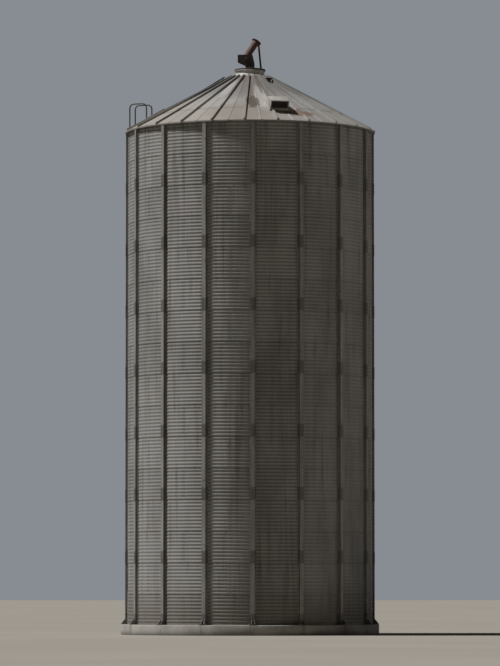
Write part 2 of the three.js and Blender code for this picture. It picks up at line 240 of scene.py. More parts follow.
# Tubes with round bends
def tubeAlong(points, radius, roundness=2):
    curve = bpy.data.curves.new("tube", "CURVE")
    curve.dimensions = "3D"
    spline = curve.splines.new("POLY")
    spline.points.add(len(points) - 1)
    for spot, point in zip(spline.points, points):
        spot.co = (*point, 1)
    curve.bevel_depth = radius
    curve.bevel_resolution = roundness
    curve.use_fill_caps = True
    obj = bpy.data.objects.new("tube", curve)
    bpy.context.scene.collection.objects.link(obj)
    pickOnly(obj)
    bpy.ops.object.convert(target="MESH")
    return tidyShell(bpy.context.object)


def roundCorner(before, corner, after, radius, steps=6):
    start = corner + (before - corner).normalized() * radius
    end = corner + (after - corner).normalized() * radius
    points = []
    for i in range(steps + 1):
        t = i / steps
        points.append((1 - t) ** 2 * start + 2 * t * (1 - t) * corner + t ** 2 * end)
    return points


# One mesh that holds a small model at many places
def repeatModel(model, places):
    corners = [v.co.copy() for v in model.data.vertices]
    faces = [tuple(p.vertices) for p in model.data.polygons]
    allCorners = []
    allFaces = []
    for matrix in places:
        first = len(allCorners)
        allCorners.extend(matrix @ corner for corner in corners)
        allFaces.extend(tuple(first + i for i in face) for face in faces)
    mesh = bpy.data.meshes.new(model.name)
    mesh.from_pydata(allCorners, [], allFaces)
    obj = bpy.data.objects.new(model.name, mesh)
    bpy.context.scene.collection.objects.link(obj)
    return obj


# The same, with a model that is needed nowhere else
def spreadModel(model, places):
    spread = repeatModel(model, places)
    removePiece(model)
    return spread


def boltsAt(bolt, spots, z):
    return repeatModel(bolt, [moved(x, y, z) for x, y in spots])


def eachSide(frameThere, across, turn=Matrix.Identity(4)):
    return [frameThere @ moved(side * across, 0, 0) @ turn for side in (-1, 1)]


def finishPiece(obj, name, slotName, replaced=(), smoothAngle=30):
    pickOnly(obj)
    bpy.ops.object.shade_smooth_by_angle(angle=math.radians(smoothAngle))
    obj.name = name
    obj.data.name = name
    obj.data.materials.clear()
    obj.data.materials.append(materials[slotName])
    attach(obj, "root")
    if replaced:
        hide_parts(*replaced)
    return obj


# A node's output, which takes plain arithmetic
class Value:
    def __init__(self, socket):
        self.socket = socket

    def __add__(self, other):
        return calc("ADD", self, other)

    def __sub__(self, other):
        return calc("SUBTRACT", self, other)

    def __rsub__(self, other):
        return calc("SUBTRACT", other, self)

    def __mul__(self, other):
        return calc("MULTIPLY", self, other)

    def __truediv__(self, other):
        return calc("DIVIDE", self, other)


def feed(socket, value):
    if isinstance(value, Value):
        socket.id_data.links.new(value.socket, socket)
    else:
        socket.default_value = (*value, 1) if socket.type == "RGBA" else value


# Adds a node to the tree of the values that feed it
def addNode(kind, inputs, output=0, **settings):
    source = next(value for value in inputs.values() if isinstance(value, Value))
    node = source.socket.id_data.nodes.new("ShaderNode" + kind)
    for key, value in settings.items():
        setattr(node, key, value)
    for key, value in inputs.items():
        feed(node.inputs[key], value)
    return Value(node.outputs[output])


def calc(operation, a, b=0.0):
    return addNode("Math", {0: a, 1: b}, operation=operation)


def scaled(vector, scale):
    return addNode("Mapping", {"Vector": vector, "Scale": scale})


def noise(vector, scale, detail, roughness):
    inputs = {"Vector": vector, "Scale": scale, "Detail": detail, "Roughness": roughness}
    return addNode("TexNoise", inputs, "Fac")


def rise(value, low, high, start=0.0, end=1.0):
    inputs = {"Value": value, "From Min": low, "From Max": high, "To Min": start, "To Max": end}
    return addNode("MapRange", inputs, interpolation_type="SMOOTHSTEP")


def blend(share, a, b, mode="MIX"):
    return addNode("Mix", {0: share, 6: a, 7: b}, 2, data_type="RGBA", blend_type=mode)


def shaded(colour, factor):
    grey = addNode("CombineColor", {channel: factor for channel in range(3)})
    return blend(1.0, colour, grey, "MULTIPLY")


def together(x, y, z):
    return addNode("CombineXYZ", {0: x, 1: y, 2: z})


def cellValue(vector):
    return addNode("TexWhiteNoise", {"Vector": vector}, "Value")


def mottled(colour, share, position, scale):
    cells = addNode("TexVoronoi", {"Vector": position, "Scale": scale}, "Color")
    return blend(share, colour, cells, "SOFT_LIGHT")


# A new material, and the position on the piece that it paints
def newMaterial(name):
    material = bpy.data.materials.new(name)
    material.use_nodes = True
    material.node_tree.nodes.clear()
    position = material.node_tree.nodes.new("ShaderNodeTexCoord").outputs["Object"]
    return material, Value(position)


# The relief is a height with its strength and distance
def dress(material, colour, roughness, metallic=0.0, relief=None):
    inputs = {"Base Color": colour, "Roughness": roughness, "Metallic": metallic}
    if relief:
        height, strength, distance = relief
        inputs["Normal"] = addNode("Bump", {"Height": height, "Strength": strength, "Distance": distance})
    output = material.node_tree.nodes.new("ShaderNodeOutputMaterial")
    feed(output.inputs["Surface"], addNode("BsdfPrincipled", inputs))
    return material


# Places on the silo: the parts of the position, the angle in degrees and the distance to the axis
def siloPlace(position):
    parts = addNode("SeparateXYZ", {0: position}).socket.node.outputs
    x, y, z = (Value(part) for part in parts)
    angle = calc("ARCTAN2", x, y * -1.0) * (180 / math.pi)
    return {"x": x, "y": y, "z": z, "angle": angle, "radius": calc("SQRT", x * x + y * y)}


wallFinish = {
    "palePart": (0.27, 0.266, 0.257),
    "dullPart": (0.194, 0.19, 0.181),
    "dust": (0.135, 0.117, 0.097),
    "grime": (0.058, 0.051, 0.045),
    "rust": (0.115, 0.052, 0.028),
    "metallic": 0.12,
    "sheetTones": (0.94, 1.05),
    "dustShare": 0.75,
    "lapShade": 0.3,
    "lapRun": 0.35,
    "splash": (1.7, 0.3),
}


def makeWallFinish():
    w = wallFinish
    material, position = newMaterial("weatheredCorrugated")
    spot = siloPlace(position)
    ring = (spot["z"] - (silo["wallBottom"] - wallSheets["lap"])) / silo["ringHeight"]
    ringIndex = calc("FLOOR", ring)
    ringPart = calc("FRACT", ring)
    # The seams of every second ring stand one bay further on
    odd = calc("PINGPONG", ringIndex, 1.0) * 0.5
    sheet = (spot["angle"] - (silo["stiffenerPhase"] + bayAngle / 2)) / (2 * bayAngle)
    sheetIndex = calc("FLOORED_MODULO", calc("FLOOR", sheet - odd), silo["stiffenerCount"] / 2)
    tone = rise(cellValue(together(sheetIndex, ringIndex, 3.0)), 0, 1, *w["sheetTones"])
    patches = noise(scaled(position, (1, 1, 0.45)), 0.9, 5, 0.6)
    streaks = noise(scaled(position, (7, 7, 0.28)), 1.0, 6, 0.65)
    fine = noise(scaled(position, (60, 60, 2.5)), 1.0, 3, 0.6)
    specks = noise(scaled(position, (16, 16, 5)), 1.0, 4, 0.7)
    colour = blend(rise(patches, 0.35, 0.68), w["palePart"], w["dullPart"])
    colour = shaded(colour, tone)
    colour = shaded(colour, rise(fine, 0.3, 0.7, 0.92, 1.06))
    colour = mottled(colour, 0.10, position, 70)
    colour = blend(rise(streaks, 0.48, 0.74) * w["dustShare"], colour, w["dust"])
    # Painted shade lies under each sheet's lower edge, and grime runs down from it
    lapShade = rise(ringPart, 0.93, 1.0) * w["lapShade"]
    lapRun = rise(ringPart, 0.45, 1.0) * rise(streaks, 0.5, 0.7)
    colour = blend(calc("MAXIMUM", lapShade, lapRun * w["lapRun"]), colour, w["grime"])
    nearLap = rise(ringPart, 0.75, 0.97, 0.25, 0.9)
    colour = blend(rise(specks, 0.64, 0.74) * nearLap, colour, w["rust"])
    splash = rise(spot["z"], *w["splash"]) * rise(fine, 0.3, 0.62, 0.45, 0.9)
    colour = blend(splash, colour, w["dust"])
    waviness = noise(scaled(position, (1, 1, 0.6)), 2.2, 2, 0.5)
    return dress(material, colour, rise(streaks, 0.3, 0.75, 0.55, 0.75), w["metallic"],
                 (waviness + fine * 0.03, 0.5, 0.012))


stiffenerFinish = {
    "zinc": (0.31, 0.304, 0.292),
    "grime": (0.21, 0.202, 0.186),
    "rust": (0.12, 0.056, 0.032),
    "dark": (0.062, 0.055, 0.048),
    "metallic": 0.15,
    "streaks": 9.0,
    "flankShadeShare": 0.35,
    "spliceShare": 0.55,
}


# The share of dark colour on a stiffener: painted shade on its flanks, and dark grime all over its splices
def stiffenerShadeAndGrime(spot):
    f = stiffenerFittings
    turns = (spot["angle"] - silo["stiffenerPhase"]) / bayAngle
    aside = calc("PINGPONG", turns, 0.5) * math.radians(bayAngle) * spot["radius"]
    pastCrown = rise(aside, f["crownHalf"] - 0.006, f["crownHalf"] + 0.001)
    # The flanks are darkened as painted shade
    onFlank = pastCrown * rise(aside, f["crownHalf"] + 0.02, f["crownHalf"] + 0.006)
    onSteel = rise(aside, f["flangeHalf"] + 0.015, f["flangeHalf"] + 0.005)
    rings = (silo["wallTop"] - spot["z"]) / silo["ringHeight"]
    away = calc("PINGPONG", (rings - f["spliceFirst"]) / f["spliceEvery"], 0.5)
    halfSplice = f["spliceLength"] / 2 / silo["ringHeight"] / f["spliceEvery"]
    onSplice = rise(away, halfSplice + 0.01, halfSplice - 0.002, 0.0, stiffenerFinish["spliceShare"])
    return calc("MAXIMUM", onFlank * stiffenerFinish["flankShadeShare"], onSplice) * onSteel


def makeSteelFinish(name, look):
    material, position = newMaterial(name)
    streaks = noise(scaled(position, (look["streaks"], look["streaks"], 0.9)), 1.0, 5, 0.6)
    blotches = noise(position, 7.0, 5, 0.65)
    colour = blend(rise(streaks, 0.35, 0.7), look["zinc"], look["grime"])
    colour = shaded(colour, rise(noise(position, 45, 3, 0.6), 0.3, 0.7, 0.85, 1.15))
    colour = blend(rise(blotches, 0.6, 0.72) * 0.8, colour, look["rust"])
    if "dark" in look:
        colour = blend(stiffenerShadeAndGrime(siloPlace(position)), colour, look["dark"])
    roughness = rise(blotches, 0.35, 0.75, 0.45, 0.8)
    return dress(material, colour, roughness, look["metallic"], (blotches, 0.3, 0.002))


ladderFinish = {
    "zinc": (0.10, 0.097, 0.092),
    "grime": (0.055, 0.052, 0.047),
    "rust": (0.10, 0.05, 0.028),
    "metallic": 0.2,
    "streaks": 14.0,
}

ventFinish = {
    "zinc": (0.45, 0.43, 0.40),
    "grime": (0.36, 0.34, 0.31),
    "rust": (0.16, 0.075, 0.04),
    "metallic": 0.1,
    "streaks": 6.0,
}

roofFinish = {
    "palePart": (0.33, 0.321, 0.307),
    "dullPart": (0.251, 0.242, 0.229),
    "dust": (0.312, 0.277, 0.242),
    "grime": (0.11, 0.092, 0.078),
    "metallic": 0.08,
    "panelTones": (0.9, 1.08),
    "upperTone": 0.55,
    # The collar's skirt and wall are painted lighter, the wall as painted light against the shade under
    # its flange
    "collarSkirt": 1.2,
    "collarWall": 1.55,
    "streakDust": 0.4,
    # Dust towards the eave, laid heavier on the left as painted shade
    "eaveDustAndShade": 0.55,
    "leftPaintedShade": 0.3,
    "eaveDirt": 0.25,
    "lapBand": 0.3,
    "raggedness": 3.0,
}
# Darker and paler places on the roof. Each has an angle and a width in degrees, a distance from the axis,
# a length down the slope, its share and its colour
roofSpots = [
    (-6, 26, 1.45, 0.75, 0.3, (0.16, 0.128, 0.112)),
    (-5, 18, 3.1, 0.6, 0.4, (0.2, 0.165, 0.135)),
    (8, 5, 2.1, 0.8, 0.6, (0.46, 0.445, 0.42)),
    (1.5, 3, 1.6, 0.7, 0.55, (0.12, 0.085, 0.055)),
    (1.8, 4.5, 2.45, 0.38, 0.9, (0.08, 0.058, 0.036)),
    (11, 1.5, 1.25, 0.7, 0.6, (0.12, 0.085, 0.06)),
    (-1, 4, 0.75, 0.2, 0.6, (0.12, 0.075, 0.06)),
    (-14, 4, 0.8, 0.25, 0.6, (0.12, 0.075, 0.06)),
    (13, 4, 0.75, 0.2, 0.6, (0.12, 0.075, 0.06)),
    (27, 9, 3.2, 0.2, 0.75, (0.17, 0.095, 0.065)),
    (-25, 4, 1.5, 0.6, 0.6, (0.48, 0.47, 0.455)),
]


def makeRoofFinish():
    r = roofFinish
    material, position = newMaterial("dustyRoofSheet")
    spot = siloPlace(position)
    radius = spot["radius"]
    panel = calc("FLOOR", (spot["angle"] - silo["ribPhase"]) / panelAngle)
    panelIndex = calc("FLOORED_MODULO", panel, silo["panelCount"])
    lap = roofPanels["lapRadius"]
    tier = calc("GREATER_THAN", radius, lap)
    tone = rise(cellValue(together(panelIndex, tier, 5.0)), 0, 1, *r["panelTones"])
    # Streaks run down the slope, so they are drawn over the direction and the distance
    slopeWays = together(spot["x"] / radius * 17, spot["y"] / radius * 17, radius * 0.7)
    streaks = noise(slopeWays, 1.6, 6, 0.65)
    patches = noise(position, 0.8, 5, 0.6)
    fine = noise(position, 28, 4, 0.65)
    colour = blend(rise(patches, 0.38, 0.68), r["palePart"], r["dullPart"])
    colour = shaded(colour, tone)
    # The upper sheets are darker than the lower ones. The collar's skirt and wall are painted lighter, the
    # wall as painted light against the shade under its flange
    upperTone = rise(radius, 1.2, 2.7, r["upperTone"], 1.0)
    collarSkirt = rise(radius, 0.62, 0.58, 0.0, r["collarSkirt"])
    collarWall = rise(radius, 0.5, 0.47, 0.0, r["collarWall"])
    colour = shaded(colour, calc("MAXIMUM", upperTone, calc("MAXIMUM", collarSkirt, collarWall)))
    # Dust thickens towards the eave; more of it lies on the left, as painted shade that darkens the sunlit
    # side
    eaveDustAndShade = rise(radius - spot["x"] * r["leftPaintedShade"], 2.3, 3.6, 0.0, r["eaveDustAndShade"])
    colour = blend(rise(streaks, 0.42, 0.72, 0.0, r["streakDust"]) + eaveDustAndShade, colour, r["dust"])
    colour = shaded(colour, rise(fine, 0.3, 0.7, 0.93, 1.06))
    colour = mottled(colour, 0.08, position, 60)
    # Dirt lies along the eave, and the lower tier is darker in a band below the lap of the two tiers, up
    # to just above the ribs
    eaveDirt = rise(radius, 3.6, silo["eaveRadius"]) * r["eaveDirt"]
    belowLap = rise(radius, lap + 0.16, lap + 0.005)
    offSheet = spot["z"] - (roofTop(0) - radius * silo["roofSlope"])
    lapBand = belowLap * tier * rise(offSheet, 0.09, 0.075, 0.0, r["lapBand"])
    colour = blend(calc("MAXIMUM", eaveDirt, lapBand), colour, r["grime"])
    ragged = (noise(position, 5, 5, 0.7) - 0.5) * r["raggedness"]
    for middle, wide, away, long, share, stain in roofSpots:
        across = (spot["angle"] - middle) / wide
        down = (radius - away) / long
        inside = rise(across * across + down * down + ragged, 1.5, 0.5)
        colour = blend(inside * share, colour, stain)
    return dress(material, colour, rise(patches, 0.3, 0.7, 0.5, 0.7), r["metallic"],
                 (patches + fine * 0.04, 0.4, 0.01))


darkFinish = {
    "coat": (0.028, 0.024, 0.024),
    "worn": (0.055, 0.047, 0.043),
    "rust": (0.10, 0.042, 0.028),
    "dust": (0.075, 0.064, 0.054),
    "rustShare": 0.5,
}
rustFinish = {
    "coat": (0.08, 0.032, 0.027),
    "worn": (0.115, 0.05, 0.038),
    "rust": (0.065, 0.03, 0.022),
    "dust": (0.17, 0.105, 0.08),
    "rustShare": 0.8,
}


def makePaintFinish(name, look):
    material, position = newMaterial(name)
    normal = Value(material.node_tree.nodes.new("ShaderNodeNewGeometry").outputs["Normal"])
    upwards = addNode("SeparateXYZ", {0: normal}, "Z")
    blotches = noise(position, 6.0, 6, 0.65)
    runs = noise(scaled(position, (22, 22, 2.5)), 1.0, 5, 0.6)
    grain = noise(position, 80, 3, 0.6)
    colour = blend(rise(blotches, 0.35, 0.65), look["coat"], look["worn"])
    colour = blend(rise(runs, 0.5, 0.68, 0.0, look["rustShare"]), colour, look["rust"])
    colour = shaded(colour, rise(grain, 0.3, 0.7, 0.85, 1.15))
    # Dust settles on what faces up
    settled = rise(upwards, 0.55, 0.95) * rise(grain, 0.3, 0.6, 0.2, 0.55)
    colour = blend(settled, colour, look["dust"])
    relief = (blotches + grain * 0.2, 0.35, 0.002)
    return dress(material, colour, rise(blotches, 0.3, 0.7, 0.6, 0.85), relief=relief)


concreteFinish = {
    "pale": (0.36, 0.345, 0.315),
    "dark": (0.25, 0.238, 0.215),
    "stain": (0.14, 0.105, 0.08),
    "damp": (0.13, 0.125, 0.11),
    "dampShare": 0.8,
    "stainShare": 0.8,
    "roughness": 0.92,
}


def makeConcreteFinish():
    c = concreteFinish
    material, position = newMaterial("weatheredConcrete")
    spot = siloPlace(position)
    clouds = noise(position, 1.4, 6, 0.6)
    grain = noise(position, 55, 4, 0.7)
    pores = noise(position, 120, 2, 0.5)
    runs = noise(scaled(position, (18, 18, 1.2)), 1.0, 5, 0.6)
    colour = blend(rise(clouds, 0.35, 0.68), c["pale"], c["dark"])
    colour = shaded(colour, rise(grain, 0.3, 0.7, 0.88, 1.08))
    colour = shaded(colour, rise(pores, 0.66, 0.72, 1.0, 0.7))
    damp = rise(spot["z"] + clouds * -0.12, 0.10, -0.06) * c["dampShare"]
    colour = blend(damp, colour, c["damp"])
    # Rust runs down from the stiffener feet
    turns = (spot["angle"] - silo["stiffenerPhase"]) * math.radians(silo["stiffenerCount"])
    underFoot = rise(calc("COSINE", turns), 0.86, 1.0)
    stained = underFoot * rise(runs, 0.45, 0.65) * c["stainShare"]
    colour = blend(stained, colour, c["stain"])
    pits = rise(pores, 0.64, 0.74) * 0.8
    return dress(material, colour, c["roughness"], relief=(grain - pits, 0.5, 0.004))


# Wall: rings of corrugated sheets that lap over each other, with bolted upright seams
wallSheets = {
    "waves": 9,
    "rowsPerWave": 6,
    "depth": 0.013,
    "thickness": 0.0016,
    "overlap": 0.0004,
    "lean": 0.003,
    "inset": 0.001,
    "lap": 0.03,
    "tuck": 0.012,
    "clear": 0.002,
    "columns": 12,
    "seamWidth": 0.076,
    "seamBoltGap": 0.044,
    "ringBolts": 96,
    "boltSink": 0.001,
    "footBolts": 0.03,
    "topBolts": -0.05,
}
wave = silo["ringHeight"] / wallSheets["waves"]


def crestRadius(part):
    return silo["wallRadius"] - wallSheets["inset"] - wallSheets["lean"] * part


# The sheet's face at a height above the ring's foot
def sheetRadius(height):
    valley = wallSheets["depth"] / 2 * (1 - math.cos(2 * math.pi * height / wave))
    return crestRadius(height / silo["ringHeight"]) - valley


def corrugatedStrip(low, high, sweep, columns, lift=0.0):
    rows = round((high - low) / silo["ringHeight"] * wallSheets["waves"] * wallSheets["rowsPerWave"])
    bpy.ops.mesh.primitive_plane_add(size=1)
    obj = bpy.context.object
    with editing(obj, "vertices", lambda vertex: vertex.co.y > 0):
        bpy.ops.mesh.delete(type="VERT")
        bpy.ops.mesh.select_all(action="SELECT")
        bpy.ops.mesh.subdivide(number_cuts=rows - 1)
    for vertex in obj.data.vertices:
        height = low + (vertex.co.x + 0.5) * (high - low)
        vertex.co = (0, -sheetRadius(height) - lift, silo["wallBottom"] + height)
    with editing(obj):
        spinAll(columns, sweep)
    return obj


def faceOutwards(obj):
    obj.data.update()
    face = obj.data.polygons[0]
    if Vector((face.center.x, face.center.y, 0)).dot(face.normal) <= 0:
        obj.data.flip_normals()


def cutBelow(obj, height):
    with editing(obj):
        bpy.ops.mesh.bisect(plane_co=(0, 0, height), plane_no=(0, 0, 1), clear_inner=True)


def stackRings(obj, count, pitch):
    modify(obj, "ARRAY", count=count, use_relative_offset=False, use_constant_offset=True,
           constant_offset_displace=(0, 0, pitch))


def makeWallStave():
    w = wallSheets
    ringHeight = silo["ringHeight"]
    sheets = corrugatedStrip(-w["lap"], ringHeight + w["tuck"], 360 / silo["staveCount"], w["columns"])
    place(sheets, turned(silo["stiffenerPhase"]))
    stackRings(sheets, silo["ringCount"], ringHeight)
    pieces = [sheets]
    seamSweep = math.degrees(w["seamWidth"] / silo["wallRadius"])
    for odd in (0, 1):
        seam = corrugatedStrip(-w["lap"], ringHeight - w["lap"] - w["clear"], seamSweep, 1, w["thickness"])
        place(seam, moved(0, 0, odd * ringHeight) @ turned(stiffenerAngle(odd + 0.5) - seamSweep / 2))
        stackRings(seam, silo["ringCount"] // 2, 2 * ringHeight)
        pieces.append(seam)
    for piece in pieces:
        cutBelow(piece, silo["wallBottom"] + w["clear"])
        faceOutwards(piece)
        modify(piece, "SOLIDIFY", thickness=w["thickness"] + w["overlap"], offset=-1)
    return joinPieces(pieces)


boltSizes = {"radius": 0.0105, "topRadius": 0.0085, "height": 0.008}


def makeBolt(scale=1.0):
    return rod(boltSizes["radius"] * scale, boltSizes["height"] * scale, 6, boltSizes["topRadius"] * scale)


def makeWallBolts(bolt):
    w = wallSheets
    places = []
    boltStep = 360 / w["ringBolts"]
    # Bolts along the laps, and beside the edges at the foot and the top
    for ring in range(silo["ringCount"] + 1):
        height = {0: w["footBolts"], silo["ringCount"]: w["topBolts"]}.get(ring, 0.0)
        z = silo["wallBottom"] + ring * silo["ringHeight"] + height
        radius = crestRadius(ring // silo["ringCount"]) - w["boltSink"]
        for k in range(w["ringBolts"] // silo["staveCount"]):
            places.append(wallFrame(silo["stiffenerPhase"] + (k + 0.5) * boltStep, radius, z) @ outwards)
    side = math.degrees(w["seamBoltGap"] / 2 / silo["wallRadius"])
    for ring in range(silo["ringCount"]):
        seamAngle = stiffenerAngle(0.5 + ring % 2)
        for row in range(1, w["waves"]):
            radius = sheetRadius(row * wave) + w["thickness"]
            z = silo["wallBottom"] + ring * silo["ringHeight"] + row * wave
            places += [wallFrame(seamAngle + s * side, radius, z) @ outwards for s in (-1, 1)]
    return repeatModel(bolt, places)


# Stiffener fittings: splice hats over the joints, flange bolts and foot anchors
stiffenerFittings = {
    "flangeHalf": 0.095,
    "crownHalf": 0.052,
    "depth": 0.07,
    "thickness": 0.005,
    "base": silo["wallRadius"] + silo["seat"],
    "gap": 0.0004,
    "overhang": 0.003,
    "spliceFirst": 1.85,
    "spliceEvery": 2,
    "spliceLength": 0.36,
    "spliceBolts": (-0.13, -0.05, 0.05, 0.13),
    "crownBoltAcross": 0.028,
    "boltAcross": 0.074,
    "boltRows": 72,
    "topClear": 0.12,
    "anchorOut": 0.135,
    "anchorAcross": 0.083,
    "footThickness": 0.016,
}


def makeSplice():
    f = stiffenerFittings
    inner = f["crownHalf"] + f["gap"]
    outer = inner + f["thickness"]
    wide = f["flangeHalf"] + f["overhang"]
    flange = f["thickness"] + f["gap"]
    flangeTop = flange + f["thickness"]
    crown = f["depth"] + f["gap"]
    outline = mirrored([(inner, crown), (inner, flange), (wide, flange), (wide, flangeTop),
                        (outer, flangeTop), (outer, crown + f["thickness"])])
    return bevelled(extrudeOutline(outline, f["spliceLength"]), 0.0015, 1, 40)


def makeStiffenerFittings(bolt, bigBolt):
    f = stiffenerFittings
    centres = []
    ringsDown = f["spliceFirst"]
    while ringsDown < silo["ringCount"] - 1:
        centres.append(silo["wallTop"] - ringsDown * silo["ringHeight"])
        ringsDown += f["spliceEvery"]
    half = f["spliceLength"] / 2
    splices = spreadModel(makeSplice(), [wallFrame(0, f["base"], z - half) for z in centres])
    flangeFace = f["base"] + f["thickness"]
    places = []
    for row in range(1, f["boltRows"]):
        z = silo["wallBottom"] + 2 * row * wave
        if z > silo["wallTop"] - f["topClear"]:
            break
        onSplice = any(abs(z - centre) < half for centre in centres)
        reach = flangeFace + (f["thickness"] + f["gap"] if onSplice else 0)
        places += eachSide(wallFrame(0, reach, z), f["boltAcross"], outwards)
    crownFace = flangeFace + f["depth"]
    for centre in centres:
        for dz in f["spliceBolts"]:
            places += eachSide(wallFrame(0, crownFace, centre + dz), f["crownBoltAcross"], outwards)
    onFoot = wallFrame(0, f["base"] + f["anchorOut"], silo["wallBottom"] + f["footThickness"])
    anchors = repeatModel(bigBolt, eachSide(onFoot, f["anchorAcross"]))
    return joinPieces([splices, repeatModel(bolt, places), anchors])


# Each part of an anchor has a radius, a height, sides and maybe another radius at its top
anchor = {
    "washer": (0.026, 0.004, 16),
    "nut": (0.018, 0.016, 6, 0.0165),
    "stud": (0.010, 0.045, 10, 0.009),
}


def makeAnchor():
    onWasher = moved(0, 0, anchor["washer"][1])
    return joinPieces([rod(*anchor["washer"]), place(rod(*anchor["nut"]), onWasher),
                       place(rod(*anchor["stud"]), onWasher)])


# Roof: folded panels with a rib at each joint, in two tiers, with a lip at the eave
roofPanels = {
    "edge": 0.001,
    "lapRadius": 2.84,
    "lapStep": 0.003,
    "rib": {"base": 0.066, "top": 0.036, "height": 0.06},
    "bead": {"base": 0.05, "top": 0.02, "height": 0.009},
    "ribInner": 0.59,
    "ribEnd": 0.012,
    "peakRadius": 0.42,
    "seamWidth": 0.016,
    "seamStep": 0.002,
    "lip": 0.036,
    "thickness": 0.0025,
    "seatInner": 3.56,
    "seatOuter": 3.68,
    "seatUnder": -0.004,
}


# A point at a distance sideways from a rib or a bead, along the flat half panel beside it
def panelPoint(angle, radius, across, lift, drop):
    turn = math.radians(angle)
    corner = Vector((radius * math.sin(turn), -radius * math.cos(turn), roofTop(radius)))
    tilt = math.radians(angle + math.copysign(panelAngle / 4, across))
    along = Vector((math.cos(tilt), math.sin(tilt), 0))
    downhill = Vector((math.sin(tilt), -math.cos(tilt), 0))
    normal = math.sin(roofAngle) * downhill + Vector((0, 0, math.cos(roofAngle)))
    return corner + across * along + lift * normal - Vector((0, 0, drop))


# Across one rib or bead and the flats beside it: the share of the flat or the distance, and the height
def panelColumns(isRib):
    p = roofPanels
    fold = p["rib"] if isRib else p["bead"]
    base = fold["base"] / 2
    top = fold["top"] / 2
    columns = [("share", -1, 0), ("metres", -base, 0), ("metres", -top, fold["height"]),
               ("metres", top, fold["height"])]
    if not isRib:
        return columns + [("metres", base, 0)]
    edge = base + p["seamWidth"]
    return columns + [("metres", base, p["seamStep"]), ("metres", edge, p["seamStep"]),
                      ("metres", edge + p["edge"], 0)]


def makeRoofSector(index):
    p = roofPanels
    foldAngle = panelAngle / 2
    perSector = 2 * silo["panelCount"] // silo["sectorCount"]
    # Each row has a radius, a step up, a drop and whether the ribs stand there
    rows = [
        (silo["eaveRadius"] - p["edge"], 0.0, p["lip"], 1),
        (silo["eaveRadius"] - p["edge"], 0.0, 0.0, 1),
        (p["lapRadius"] + p["edge"], 0.0, 0.0, 1),
        (p["lapRadius"], p["lapStep"], 0.0, 1),
        (p["ribInner"], p["lapStep"], 0.0, 1),
        (p["ribInner"] - p["ribEnd"], p["lapStep"], 0.0, 0),
        (p["peakRadius"], p["lapStep"], 0.0, 0),
    ]
    columns = []
    for k in range(perSector):
        angle = ribAngle((index * perSector + k) / 2)
        columns.extend((angle, *column) for column in panelColumns(k % 2 == 0))
    columns.append((angle, "share", 1, 0))
    lastColumn = len(columns) - 1
    lastRow = len(rows) - 1
    bpy.ops.mesh.primitive_grid_add(size=1, x_subdivisions=lastColumn, y_subdivisions=lastRow)
    panel = bpy.context.object
    for vertex in panel.data.vertices:
        angle, kind, across, ribHeight = columns[round((vertex.co.x + 0.5) * lastColumn)]
        radius, step, drop, ribShare = rows[round((vertex.co.y + 0.5) * lastRow)]
        half = radius * math.sin(math.radians(foldAngle / 2))
        metres = across * half if kind == "share" else max(-half, min(half, across))
        ribLift = 0.0 if drop > 0 else ribHeight * ribShare
        vertex.co = panelPoint(angle, radius, metres, ribLift + step, drop)
    modify(panel, "SOLIDIFY", thickness=p["thickness"], offset=-1)
    # The seat ring that carries the sector on the wall's top
    seatBottom = silo["wallTop"] + silo["seat"]
    outline = [(p["seatInner"], seatBottom), (p["seatOuter"], seatBottom)]
    outline += [(radius, roofTop(radius) + p["seatUnder"]) for radius in (p["seatOuter"], p["seatInner"])]
    inward = math.cos(math.radians(foldAngle / 2))
    start = ribAngle(index * perSector / 2) - foldAngle / 2
    seatRing = spinOutline([(radius * inward, z) for radius, z in outline], perSector * 2, start,
                           perSector * foldAngle)
    return joinPieces([panel, seatRing])


# Peak: a light collar, a dark cap plate, the inlet box and the leaning stub
peak = {
    "collarSkirt": 0.57,
    "skirtSteel": 0.010,
    "skirtBolts": 0.045,
    "collarWall": 0.014,
    "flangeRadius": 0.47,
    "collarHeight": 0.12,
    "capRadius": 0.465,
    "capThickness": 0.06,
    "capCrown": 0.22,
    "capBolts": 16,
    "capBoltsIn": 0.045,
    "holeHalf": 0.112,
    "sole": 0.010,
    "roundSteps": 72,
}
collarTop = roofTop(roofPanels["peakRadius"]) + silo["seat"] + peak["collarHeight"]
capBottom = collarTop + silo["seat"]
capTop = capBottom + peak["capThickness"]
inletBottom = capTop + silo["seat"]
stubFoot = Vector((-0.13, 0, inletBottom + 0.34))
stubHead = Vector((0.2, 0.15, inletBottom + 0.86))
stubAxis = (stubHead - stubFoot).normalized()
stubLength = (stubHead - stubFoot).length


def makePeakCollar(bolt):
    inner = roofPanels["peakRadius"]
    neck = inner + peak["collarWall"]
    flange = peak["flangeRadius"]
    over = roofPanels["lapStep"] + 0.0004
    face = over + peak["skirtSteel"]
    skirt = peak["collarSkirt"]
    outline = [
        (inner, roofTop(inner) + over), (skirt, roofTop(skirt) + over),
        (skirt + 0.003, roofTop(skirt) + over + 0.006), (skirt, roofTop(skirt) + face),
        (neck + 0.012, roofTop(neck + 0.012) + face), (neck, roofTop(neck) + face + 0.012),
        (neck, collarTop - 0.014), (flange - 0.002, collarTop - 0.012),
        (flange, collarTop - 0.006), (flange - 0.003, collarTop), (inner, collarTop),
    ]
    collar = spinOutline(outline, peak["roundSteps"])
    places = [roofFrame(ribAngle(i + part), skirt - peak["skirtBolts"], face)
              for i in range(silo["panelCount"]) for part in (0.25, 0.75)]
    return joinPieces([collar, repeatModel(bolt, places)])


def cutAway(obj, cutter):
    modify(obj, "BOOLEAN", object=cutter, operation="DIFFERENCE", solver="EXACT")
    removePiece(cutter)


# Cuts the square throat through a piece of the peak
def cutThroat(obj):
    side = 2 * peak["holeHalf"]
    cutAway(obj, block((side, side, 0.2), (0, 0, inletBottom)))
    return obj


